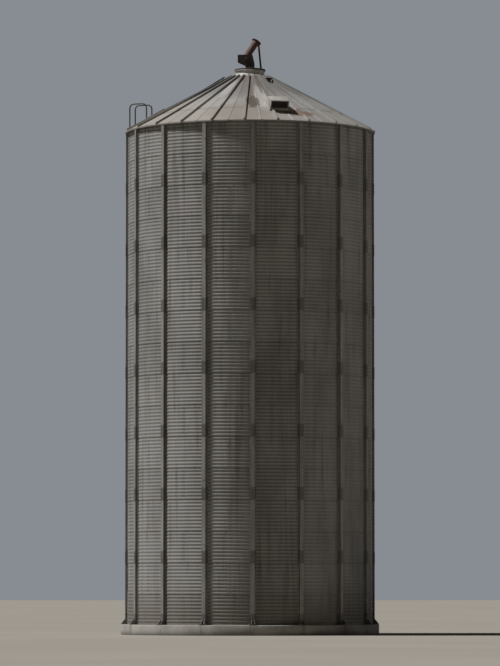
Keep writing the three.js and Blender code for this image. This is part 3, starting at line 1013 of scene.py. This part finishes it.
def makePeakCap(bolt):
    radius = peak["capRadius"]
    middle = peak["holeHalf"] - 0.04
    outline = [
        (middle, capBottom), (radius - 0.004, capBottom), (radius, capBottom + 0.004),
        (radius, capTop - 0.020), (radius - 0.006, capTop - 0.012), (radius - 0.03, capTop - 0.006),
        (peak["capCrown"], capTop), (middle, capTop),
    ]
    cap = cutThroat(spinOutline(outline, peak["roundSteps"]))
    count = peak["capBolts"]
    inRim = radius - peak["capBoltsIn"]
    rim = [wallFrame(6 + i * 360 / count, inRim, capTop - 0.007) for i in range(count)]
    return joinPieces([cap, repeatModel(bolt, rim)])


# A square plate that stands on the cap
def solePlate(width, x=0, y=0):
    return plate((width, width, peak["sole"]), (x, y, inletBottom + peak["sole"] / 2))


inletBox = {
    "neckHalf": 0.12,
    "shoulder": 0.15,
    "height": 0.41,
    "lidEnd": 0.06,
    "reach": 0.35,
    "heel": 0.23,
    "throat": 0.11,
    "depth": 0.26,
    "wall": 0.008,
    "cheekOverhang": 0.016,
    "cheekSteel": 0.006,
    "cheekBolts": [(-0.08, 0.04), (0.08, 0.04), (0.112, 0.15), (0.08, 0.25), (0.04, 0.36), (-0.08, 0.39),
                   (-0.2, 0.39), (-0.33, 0.39), (-0.33, 0.26), (-0.23, 0.20), (-0.13, 0.13)],
    "endPlate": (0.014, 0.22, 0.18),
    "endFace": (-0.369, 0.32),
    "endBolts": (0.08, 0.06),
    "sideHatch": (0.15, 0.008, 0.13),
    "foot": 0.34,
    "footBolts": 0.15,
}


# The box from the front: the neck, the slanting right side and the head with its dead end at the left
def boxOutline(grow=0.0):
    b = inletBox
    half = b["neckHalf"] + grow
    top = b["height"] + grow
    left = -b["reach"] - grow
    return [(-half, 0), (half, 0), (half, b["shoulder"]), (b["lidEnd"] + grow, top), (left, top),
            (left, b["heel"] - grow), (-half, b["throat"])]


def makeInletBox(bolt):
    b = inletBox
    wall = b["wall"]
    depth = b["depth"]
    cheekSteel = b["cheekSteel"]
    shell = extrudeOutline(boxOutline(), depth - 2 * wall)
    place(shell, moved(0, depth / 2 - wall, inletBottom) @ facingFront)
    inside = extrudeOutline(boxOutline(-wall), depth - 4 * wall)
    place(inside, moved(0, depth / 2 - 2 * wall, inletBottom) @ facingFront)
    bore = rod(inletStub["radius"] - inletStub["boreWall"], 0.3, 24)
    place(bore, alongAxis(stubFoot - stubAxis * 0.05, stubAxis))
    for cutter in (inside, bore):
        cutAway(shell, cutter)
    pieces = [shell]
    places = []
    for side in (-1, 1):
        cheek = bevelled(extrudeOutline(boxOutline(b["cheekOverhang"]), cheekSteel), 0.0015, 1)
        y = side * (depth / 2 - wall + cheekSteel / 2) + cheekSteel / 2
        pieces.append(place(cheek, moved(0, y, inletBottom) @ facingFront))
        face = side * (depth / 2 - wall + cheekSteel)
        places += [moved(x, face, inletBottom + z) @ turned(-90 * side, "X") for x, z in b["cheekBolts"]]
    endX, endZ = b["endFace"]
    pieces.append(plate(b["endPlate"], (endX + b["endPlate"][0] / 2, 0, inletBottom + endZ), 0.003))
    boltY, boltZ = b["endBolts"]
    places += [moved(endX, dy, inletBottom + endZ + dz) @ turned(-90, "Y")
               for dy in (-boltY, boltY) for dz in (-boltZ, boltZ)]
    pieces.append(plate(b["sideHatch"], (-0.09, -depth / 2 - 0.002, inletBottom + 0.29)))
    pieces.append(cutThroat(solePlate(b["foot"])))
    away = b["footBolts"]
    spots = [(dx, dy) for dx in (-away, away) for dy in (-away, 0, away)]
    places += [moved(dx, dy, inletBottom + peak["sole"]) for dx, dy in spots]
    return joinPieces([*pieces, repeatModel(bolt, places)])


inletStub = {
    "radius": 0.1,
    "wall": 0.008,
    "boreWall": 0.007,
    "band": (0.16, 0.165, 0.195, 0.2),
    "bandOut": 0.006,
    "flange": 0.155,
    "flangeSteel": 0.014,
    "flangeBolts": 8,
    "boltsOut": 0.034,
    "legFoot": (0.33, 0.06, 0.008),
    "legHead": (0.085, 0.06),
    "legWidth": 0.055,
    "legSteel": 0.006,
    "soleWidth": 0.11,
    "soleBolts": 0.04,
}


def makeInletStub(bolt):
    s = inletStub
    radius = s["radius"]
    bore = radius - s["wall"]
    flange = s["flange"]
    under = stubLength - s["flangeSteel"]
    outline = [(bore, 0), (radius, 0)]
    outline += [(radius + out, z) for out, z in zip((0, s["bandOut"], s["bandOut"], 0), s["band"])]
    outline += [
        (radius, under - 0.01), (radius + 0.008, under), (flange - 0.002, under), (flange, under + 0.002),
        (flange, stubLength - 0.002), (flange - 0.002, stubLength), (bore, stubLength),
    ]
    toAxis = alongAxis(stubFoot, stubAxis)
    tube = place(spinOutline(outline, 40), toAxis)
    onFlange = moved(radius + s["boltsOut"], 0, under) @ turned(180, "X")
    flangeBolts = [toAxis @ turned(i * 360 / s["flangeBolts"] + 20) @ onFlange
                   for i in range(s["flangeBolts"])]
    footX, footY, footZ = s["legFoot"]
    legFoot = Vector((footX, footY, inletBottom + footZ))
    headX, below = s["legHead"]
    legHead = stubFoot + stubAxis * (stubLength - below) + Vector((headX, 0, 0))
    wide = s["legWidth"]
    steel = s["legSteel"]
    angleBar = [(0, 0), (wide, 0), (wide, steel), (steel, steel), (steel, wide), (0, wide)]
    leg = extrudeOutline([(x - wide / 2, y - wide / 2) for x, y in angleBar], (legHead - legFoot).length)
    place(leg, alongAxis(legFoot, (legHead - legFoot).normalized()))
    sole = solePlate(s["soleWidth"], footX, footY)
    away = s["soleBolts"]
    soleBolts = [moved(footX + dx, footY + dy, inletBottom + peak["sole"])
                 for dy in (-away, away) for dx in (-away, away)]
    return joinPieces([tube, leg, sole, repeatModel(bolt, flangeBolts + soleBolts)])


# A small dark lug beside the collar, whose head is wider than the gap between two ribs
peakLug = {
    "angle": ribAngle(2.5),
    "radius": 0.95,
    "width": 0.14,
    "headWidth": 0.25,
    "headBottom": 0.075,
    "height": 0.115,
    "thickness": 0.012,
    "sole": 0.008,
}


def makePeakLug(bolt):
    g = peakLug
    half = g["width"] / 2
    head = g["headWidth"] / 2
    outline = mirrored([(half, 0), (half, g["headBottom"] - 0.02), (head, g["headBottom"]),
                        (head, g["height"])])
    cheek = bevelled(extrudeOutline(outline, g["thickness"]), 0.002)
    place(cheek, moved(0, g["thickness"] / 2, 0) @ facingFront)
    sole = plate((g["width"] + 0.02, 0.09, g["sole"]), (0, 0, g["sole"] / 2))
    corners = [(sx * (half - 0.012), sy * 0.028) for sx in (-1, 1) for sy in (-1, 1)]
    lug = joinPieces([cheek, sole, boltsAt(bolt, corners, g["sole"])])
    return place(lug, roofFrame(g["angle"], g["radius"], roofPanels["lapStep"]))


# Roof vents: a hood whose screened mouth looks down the slope
roofVent = {
    "angles": (16, 196),
    "radius": 2.82,
    "width": 0.56,
    "front": -0.27,
    "back": 0.29,
    "bottom": -0.03,
    "curb": (0.59, 0.59, 0.06),
    "lip": (-0.29, 0.045),
    "brow": (-0.312, 0.318),
    "mouthRim": 0.028,
    "mouthDepth": 0.15,
    "sweepSteps": 9,
    "crown": 0.032,
    "fall": 0.2,
    "strap": (0.012, 0.03, 0.30),
    "strapAt": (0.002, -0.16, 0.165),
    "boltInset": 0.016,
    "boltHeight": 0.035,
    "wireColumns": 16,
    "wireRows": 7,
    "wire": 0.005,
    "screenIn": 0.012,
}


def hoodOutline():
    v = roofVent
    front = [(v["front"], v["bottom"]), (v["front"], v["lip"][1]), v["lip"], v["brow"]]
    # The top rises from the mouth and falls in one round sweep to the curb
    browY, browZ = v["brow"]
    sweep = []
    for i in range(1, v["sweepSteps"] + 1):
        share = i / v["sweepSteps"]
        z = browZ + v["crown"] * math.sin(share * math.pi * 0.9) - v["fall"] * share ** 3.2
        sweep.append((browY + share * (v["back"] - browY), z))
    return front + sweep + [(v["back"], v["bottom"])]


def makeRoofVent(angle, bolt):
    v = roofVent
    hood = extrudeOutline(hoodOutline(), v["width"])
    place(hood, moved(-v["width"] / 2, 0, 0) @ facingSideways)
    with editing(hood, "polygons", lambda face: face.normal.y < -0.8 and face.center.z > 0.1):
        pressFaces(v["mouthRim"], (0, v["mouthDepth"], 0))
    bevelled(hood, 0.008, 2, 50)
    curb = plate(v["curb"], (0, 0.01, 0.005), 0.004)
    out, y, z = v["strapAt"]
    straps = [plate(v["strap"], (side * (v["width"] / 2 + out), y, z), 0.002, 1) for side in (-1, 1)]
    half = v["curb"][0] / 2 - v["boltInset"]
    spots = [(s * half, v["front"] + 0.14 * i) for s in (-1, 1) for i in range(5)]
    vent = joinPieces([hood, curb, *straps, boltsAt(bolt, spots, v["boltHeight"])])
    return place(vent, roofFrame(angle, v["radius"]))


# The wire screen in the mouth, and a dark sheet behind it as painted shade deep in the mouth
def makeVentScreen(angle):
    v = roofVent
    lip = Vector((0, *v["lip"]))
    brow = Vector((0, *v["brow"]))
    middle = (lip + brow) / 2
    tall = (brow - lip).length - 2 * v["mouthRim"]
    wide = v["width"] - 2 * v["mouthRim"]
    leaning = Matrix.Rotation(math.atan2(lip.y - brow.y, brow.z - lip.z), 4, "X")
    places = []
    for i in range(v["wireColumns"]):
        x = wide * ((i + 0.5) / v["wireColumns"] - 0.5)
        places.append(moved(x, 0, 0) @ Matrix.Diagonal((1, 1, tall + 0.004, 1)))
    for i in range(v["wireRows"]):
        z = tall * ((i + 0.5) / v["wireRows"] - 0.5)
        places.append(moved(0, 0, z) @ sideways @ Matrix.Diagonal((1, 1, wide + 0.004, 1)))
    screen = spreadModel(block((v["wire"], v["wire"], 1)), places)
    place(screen, Matrix.Translation(middle + Vector((0, v["screenIn"], 0))) @ leaning)
    # A dark sheet as painted shade in the depth of the mouth
    shadeBaffle = block((wide - 0.01, 0.006, tall - 0.01))
    behind = middle + Vector((0, v["mouthDepth"] - v["screenIn"], 0))
    place(shadeBaffle, Matrix.Translation(behind) @ leaning)
    return place(joinPieces([screen, shadeBaffle]), roofFrame(angle, v["radius"]))


# Roof hatch: a curb and a rimmed lid with two hinges, a hasp and a handle
roofHatch = {
    "angle": ribAngle(-6.5),
    "radius": 2.8,
    "size": 0.56,
    "bottom": -0.04,
    "height": 0.13,
    "flange": 0.02,
    "flangeSteel": 0.012,
    "lid": 0.62,
    "lidSteel": 0.012,
    "rim": 0.035,
    "rimSteel": 0.006,
    "hingeAcross": 0.18,
    "gripHalf": 0.06,
    "gripY": -0.2,
}


def makeHatchCurb(bolt):
    h = roofHatch
    size = h["size"]
    middle = (h["height"] + h["bottom"]) / 2
    curb = plate((size, size, h["height"] - h["bottom"]), (0, 0, middle), 0.006)
    wide = size + 2 * h["flange"]
    flange = plate((wide, wide + 0.06, h["flangeSteel"]), (0, 0, h["flangeSteel"] / 2), 0.003)
    edge = size / 2 + 0.03
    spots = [(-0.24 + 0.12 * i, s * edge) for s in (-1, 1) for i in range(5)]
    pieces = [curb, flange, boltsAt(bolt, spots, h["flangeSteel"])]
    return place(joinPieces(pieces), roofFrame(h["angle"], h["radius"]))


def makeHatchLid():
    h = roofHatch
    top = h["height"] + silo["seat"]
    tall = h["rim"] + h["lidSteel"]
    lid = block((h["lid"], h["lid"], tall), (0, 0, top + h["lidSteel"] - tall / 2))
    # The underside is hollowed so that the rim hangs over the curb
    with editing(lid, "polygons", lambda face: face.normal.z < -0.9):
        pressFaces(h["rimSteel"], (0, 0, h["rim"]))
    bevelled(lid, 0.003, 2, 50)
    pieces = [lid]
    pieces += [plate((0.5, 0.02, 0.008), (0, y, top + 0.014), 0.003) for y in (-0.05, 0.15)]
    half = h["gripHalf"]
    leftHalf = [(-half, 0.008), (-half, 0.045), (0.01 - half, 0.055)]
    grip = leftHalf + [(-x, z) for x, z in reversed(leftHalf)]
    pieces.append(tubeAlong([(x, h["gripY"], top + z) for x, z in grip], 0.007))
    for side in (-1, 1):
        x = side * h["hingeAcross"]
        pieces.append(plate((0.05, 0.10, 0.005), (x, 0.27, top + 0.0145), 0.001, 1))
        pieces.append(place(rod(0.009, 0.06, 12), moved(x - 0.03, 0.318, top + 0.006) @ sideways))
    pieces.append(plate((0.035, 0.012, 0.09), (0, -h["lid"] / 2 - 0.006, top - 0.02)))
    return place(joinPieces(pieces), roofFrame(h["angle"], h["radius"]))


# Ladders: flat stiles, round rungs and bolted brackets
ladder = {
    "reach": 3.85,
    "stile": (0.012, 0.06),
    "rung": 0.0125,
    "pitch": 0.3,
    "bottom": 0.45,
    "firstRung": 0.15,
    "arm": (0.05, 0.008),
    "armInner": silo["wallRadius"] - 0.012,
    "bracketFoot": (0.045, 0.006, 0.09),
    "roofStile": (0.012, 0.045),
    "roofLower": 3.15,
    "roofUpper": 0.69,
    "standOff": 0.09,
    "legs": (3.05, 1.9, 1.33, 0.76),
    "leg": (0.010, 0.05, 0.03),
    "shoe": (0.036, 0.06, 0.005),
}
ladderTop = silo["eaveZ"] + 0.06


def stepsBetween(low, high, step):
    steps = []
    while low < high:
        steps.append(low)
        low += step
    return steps


def makeRung():
    half = silo["ladderHalf"] + 0.008
    return place(rod(ladder["rung"], 2 * half, 10), moved(-half, 0, 0) @ sideways)


def makeWallLadder(bolt):
    half = silo["ladderHalf"]
    reach = ladder["reach"]
    bottom = ladder["bottom"]
    height = ladderTop - bottom
    arms = stepsBetween(silo["wallBottom"] + silo["ringHeight"], silo["wallTop"], 2 * silo["ringHeight"])
    inner = ladder["armInner"]
    outer = reach - 0.02
    armTall, armWide = ladder["arm"]
    parts = []
    boltPlaces = []
    for side in (-1, 1):
        parts.append(plate((*ladder["stile"], height), (side * half, reach, bottom + height / 2)))
        arm = plate((armWide, outer - inner, armTall), edge=0.0015, segments=1)
        foot = plate(ladder["bracketFoot"], edge=0.0015, segments=1)
        place(foot, moved(side * 0.022, (inner - outer) / 2 + 0.016, 0))
        places = [moved(side * (half - 0.010), (outer + inner) / 2, z) for z in arms]
        parts.append(spreadModel(joinPieces([arm, foot]), places))
        for z in arms:
            boltPlaces += [moved(side * (half + 0.006), reach - 0.012, z + dz) @ turned(side * 90, "Y")
                           for dz in (-0.012, 0.012)]
            boltPlaces += [moved(side * (half + 0.018), inner + 0.019, z + dz) @ outwards
                           for dz in (-0.03, 0.03)]
    rungs = stepsBetween(bottom + ladder["firstRung"], ladderTop - 0.04, ladder["pitch"])
    parts.append(spreadModel(makeRung(), [moved(0, reach, z) for z in rungs]))
    parts.append(repeatModel(bolt, boltPlaces))
    return place(joinPieces(parts), wallFrame(silo["ladderAngle"]))


# The height of the rib under a point of the roof, or nothing between the ribs
def ribUnder(angle, radius, across):
    spot = angle + math.degrees(math.asin(across / radius))
    panels = (spot - silo["ribPhase"]) / panelAngle
    aside = radius * math.radians(abs(panels - round(panels)) * panelAngle)
    return roofPanels["rib"]["height"] if aside < roofPanels["rib"]["base"] / 2 else 0.0


def makeRoofLadder():
    angle = silo["ladderAngle"]
    half = silo["ladderHalf"]
    stileWide, stileTall = ladder["roofStile"]
    climb = (ladder["roofLower"] - ladder["roofUpper"]) / math.cos(roofAngle)
    level = ladder["standOff"] + stileTall / 2
    toRoof = roofFrame(angle, (ladder["roofLower"] + ladder["roofUpper"]) / 2)
    legWide, legLong, legLap = ladder["leg"]
    parts = []
    for side in (-1, 1):
        parts.append(place(plate((stileWide, climb, stileTall), (side * half, 0, level)), toRoof))
        across = side * (half - 0.008)
        for radius in ladder["legs"]:
            bottom = ribUnder(angle, radius, across) + roofPanels["lapStep"]
            top = ladder["standOff"] + legLap
            leg = plate((legWide, legLong, top - bottom), (across, 0, (top + bottom) / 2), 0.0015, 1)
            shoe = plate(ladder["shoe"], (across, 0, bottom + ladder["shoe"][2] / 2), 0.0015, 1)
            parts.append(place(joinPieces([leg, shoe]), roofFrame(angle, radius)))
    rungs = stepsBetween(-climb / 2 + 0.12, climb / 2 - 0.06, ladder["pitch"])
    parts.append(spreadModel(makeRung(), [toRoof @ moved(0, y, level) for y in rungs]))
    return joinPieces(parts)


eaveRail = {"radius": 0.021, "height": 1.05, "inner": 3.3, "bend": 0.15, "shoe": (0.08, 0.10, 0.008)}


def makeEaveRail(side):
    r = eaveRail
    x = side * silo["ladderHalf"]
    top = silo["eaveZ"] + r["height"] - r["radius"]
    foot = Vector((x, ladder["reach"], ladderTop + silo["seat"]))
    upOut = Vector((x, ladder["reach"], top))
    upIn = Vector((x, r["inner"], top))
    seat = Vector((x, r["inner"], roofTop(r["inner"]) - 0.02))
    points = [foot, *roundCorner(foot, upOut, upIn, r["bend"]), *roundCorner(upOut, upIn, seat, r["bend"]),
              seat]
    onSlope = moved(x, r["inner"], roofTop(r["inner"]) + r["shoe"][2] / 2)
    shoe = place(plate(r["shoe"]), onSlope @ Matrix.Rotation(-roofAngle, 4, "X"))
    return place(joinPieces([tubeAlong(points, r["radius"], 4), shoe]), wallFrame(silo["ladderAngle"]))


# Access door: a bolted cover with a pressed panel and two handles
accessDoor = {
    "angle": silo["stiffenerPhase"] - 4.5 * bayAngle,
    "half": 0.33,
    "bottom": silo["wallBottom"] + silo["ringHeight"] + 0.06,
    "height": 1.24,
    "thickness": 0.065,
    "proud": 0.04,
    "frame": 0.055,
    "recess": 0.014,
    "pressed": {"border": 0.045, "height": 0.008},
    "bars": (-0.28, 0, 0.28),
    "grip": [(0, -0.09), (0.022, -0.085), (0.028, -0.07), (0.028, 0.07), (0.022, 0.085), (0, 0.09)],
}


def makeAccessDoor(bolt):
    d = accessDoor
    face = silo["wallRadius"] + d["proud"]
    middle = d["bottom"] + d["height"] / 2
    panel = block((2 * d["half"], d["thickness"], d["height"]), (0, face - d["thickness"] / 2, middle))
    with editing(panel, "polygons", lambda side: side.normal.y > 0.9):
        pressFaces(d["frame"], (0, -d["recess"], 0))
        pressFaces(d["pressed"]["border"], (0, d["pressed"]["height"], 0))
    bevelled(panel, 0.004, 2, 40)
    inside = face - d["recess"] + d["pressed"]["height"]
    parts = [panel]
    parts += [plate((0.36, 0.012, 0.03), (0, inside + 0.003, middle + dz), 0.004) for dz in d["bars"]]
    parts += [tubeAlong([(x, inside + out, middle + up) for out, up in d["grip"]], 0.007)
              for x in (-0.16, 0.16)]
    edge = d["half"] - d["frame"] / 2
    reach = d["height"] / 2 - d["frame"] / 2
    spots = [(s * edge, -reach + i * 2 * reach / 10) for s in (-1, 1) for i in range(11)]
    spots += [(-edge + i * 2 * edge / 5, s * reach) for s in (-1, 1) for i in range(1, 5)]
    parts.append(repeatModel(bolt, [moved(x, face, middle + z) @ outwards for x, z in spots]))
    return place(joinPieces(parts), wallFrame(d["angle"]))


# Base: a round concrete foundation with worn edges
concreteBase = {"radius": 3.848, "height": 0.3, "edge": 0.022, "sides": 128}


def makeBase():
    base = rod(concreteBase["radius"], concreteBase["height"], concreteBase["sides"])
    with editing(base):
        bpy.ops.mesh.bevel(offset=concreteBase["edge"], segments=3, affect="EDGES")
    return base


# Materials, by the record's slots
materials = {
    "wall_sheet": makeWallFinish(),
    "stiffener_steel": makeSteelFinish("dullStiffener", stiffenerFinish),
    "roof_sheet": makeRoofFinish(),
    "ladder_steel": makeSteelFinish("dullLadder", ladderFinish),
    "dark_steel": makePaintFinish("darkInletPaint", darkFinish),
    "vent_steel": makeSteelFinish("dullVentSheet", ventFinish),
    "rusty_steel": makePaintFinish("redRustPaint", rustFinish),
    "concrete": makeConcreteFinish(),
}
print("materials are ready")

smallBolt = makeBolt()
roofBolt = makeBolt(0.8)
anchorNut = makeAnchor()

for name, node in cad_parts.items():
    if name.startswith("stiffener_"):
        node.data.materials.clear()
        node.data.materials.append(materials["stiffener_steel"])

firstStave = makeWallStave()
firstBolts = makeWallBolts(smallBolt)
for i in range(silo["staveCount"]):
    turn = turned(i * 360 / silo["staveCount"])
    stave = copyPiece(firstStave, turn)
    finishPiece(stave, f"wall_sheets_{i + 1}", "wall_sheet", [f"wall_stave_{i + 1}"], 40)
    bolts = copyPiece(firstBolts, turn)
    finishPiece(bolts, f"wall_bolts_{i + 1}", "stiffener_steel", (), 20)
print("wall is ready")

firstFittings = makeStiffenerFittings(smallBolt, anchorNut)
for i in range(silo["stiffenerCount"]):
    fittings = copyPiece(firstFittings, turned(stiffenerAngle(i)))
    finishPiece(fittings, f"stiffener_fittings_{i + 1:02d}", "stiffener_steel", (), 20)
print("stiffener fittings are ready")

for i in range(silo["sectorCount"]):
    sector = makeRoofSector(i)
    finishPiece(sector, f"roof_panels_{i + 1}", "roof_sheet", [f"roof_sector_{i + 1}"])
print("roof is ready")

finishPiece(makePeakCollar(roofBolt), "collar_ring", "roof_sheet", ["peak_collar"])
finishPiece(makePeakCap(roofBolt), "cap_plate", "dark_steel", ["peak_cap"])
finishPiece(makeInletBox(roofBolt), "inlet_housing", "dark_steel", ["inlet_box"])
finishPiece(makeInletStub(smallBolt), "inlet_spout_stub", "rusty_steel", ["inlet_stub"])
finishPiece(makePeakLug(roofBolt), "peak_lug", "dark_steel")
for i, angle in enumerate(roofVent["angles"]):
    finishPiece(makeRoofVent(angle, roofBolt), f"vent_hood_{i + 1}", "vent_steel", [f"roof_vent_{i + 1}"])
    finishPiece(makeVentScreen(angle), f"vent_screen_{i + 1}", "dark_steel")
finishPiece(makeHatchCurb(roofBolt), "hatch_curb", "roof_sheet", ["roof_hatch_curb"])
finishPiece(makeHatchLid(), "hatch_lid", "roof_sheet", ["roof_hatch_lid"])
print("roof fittings are ready")

finishPiece(makeWallLadder(smallBolt), "ladder_on_wall", "ladder_steel", ["wall_ladder"])
finishPiece(makeRoofLadder(), "ladder_on_roof", "ladder_steel", ["roof_ladder"])
finishPiece(makeEaveRail(-1), "rail_left", "ladder_steel", ["eave_rail_left"])
finishPiece(makeEaveRail(1), "rail_right", "ladder_steel", ["eave_rail_right"])
finishPiece(makeAccessDoor(smallBolt), "door_cover", "wall_sheet", ["access_door"])
finishPiece(makeBase(), "base_ring", "concrete", ["concrete_base"])
for model in (firstStave, firstBolts, firstFittings, smallBolt, roofBolt, anchorNut):
    removePiece(model)
print("ladders, door and base are ready")

# Studio: a pale floor, a soft key from the left and two weak fills
studio = {
    "cameraDistance": 124,
    "cameraHeight": 1.3,
    "aimHeight": 9.0,
    "lens": 224.3,
    "sensor": 36,
    "viewEnd": 3000,
    "floorSize": 900,
    "floorColour": (0.29, 0.264, 0.224),
    "floorRoughness": 0.95,
    "backdrop": (0.246, 0.266, 0.291),
    "fill": (0.30, 0.275, 0.238),
    "fillStrength": 0.08,
    "key": {"angle": -87, "elevation": 57, "strength": 4.3, "softness": 7},
    "sideFill": {"angle": 100, "elevation": 20, "strength": 0.19, "softness": 20},
}


def aimAlong(obj, direction):
    obj.rotation_euler = direction.to_track_quat("-Z", "Y").to_euler()


def makeSun(name):
    light = studio[name]
    sunData = bpy.data.lights.new(name, "SUN")
    sunData.energy = light["strength"]
    sunData.angle = math.radians(light["softness"])
    sun = bpy.data.objects.new(name, sunData)
    bpy.context.scene.collection.objects.link(sun)
    turn = math.radians(light["angle"])
    lift = math.radians(light["elevation"])
    toSun = Vector((math.sin(turn) * math.cos(lift), -math.cos(turn) * math.cos(lift), math.sin(lift)))
    aimAlong(sun, -toSun)


def makeCamera():
    s = studio
    cameraData = bpy.data.cameras.new("camera")
    cameraData.sensor_fit = "VERTICAL"
    cameraData.sensor_height = s["sensor"]
    cameraData.lens = s["lens"]
    cameraData.clip_end = s["viewEnd"]
    camera = bpy.data.objects.new("camera", cameraData)
    bpy.context.scene.collection.objects.link(camera)
    camera.location = (0, -s["cameraDistance"], s["cameraHeight"])
    aimAlong(camera, Vector((0, 0, s["aimHeight"])) - camera.location)
    bpy.context.scene.camera = camera


# The backdrop that shows is not the weak fill that lights the shaded side
def makeWorld():
    s = studio
    world = bpy.data.worlds.new("studio")
    world.use_nodes = True
    bpy.context.scene.world = world
    tree = world.node_tree
    tree.nodes.clear()
    seen = tree.nodes.new("ShaderNodeBackground")
    seen.inputs["Color"].default_value = (*s["backdrop"], 1)
    fill = tree.nodes.new("ShaderNodeBackground")
    fill.inputs["Color"].default_value = (*s["fill"], 1)
    fill.inputs["Strength"].default_value = s["fillStrength"]
    mix = tree.nodes.new("ShaderNodeMixShader")
    output = tree.nodes.new("ShaderNodeOutputWorld")
    tree.links.new(tree.nodes.new("ShaderNodeLightPath").outputs["Is Camera Ray"], mix.inputs[0])
    tree.links.new(fill.outputs[0], mix.inputs[1])
    tree.links.new(seen.outputs[0], mix.inputs[2])
    tree.links.new(mix.outputs[0], output.inputs["Surface"])


def makeFloor():
    bpy.ops.mesh.primitive_plane_add(size=studio["floorSize"])
    floor = bpy.context.object
    floor.name = "floor"
    material, position = newMaterial("paleFloor")
    tone = rise(noise(position, 0.08, 3, 0.5), 0.3, 0.7, 0.95, 1.03)
    colour = shaded(studio["floorColour"], tone)
    floor.data.materials.append(dress(material, colour, studio["floorRoughness"]))


bpy.context.scene.view_settings.view_transform = "Standard"
makeCamera()
makeSun("key")
makeSun("sideFill")
makeWorld()
makeFloor()
print("studio is ready")
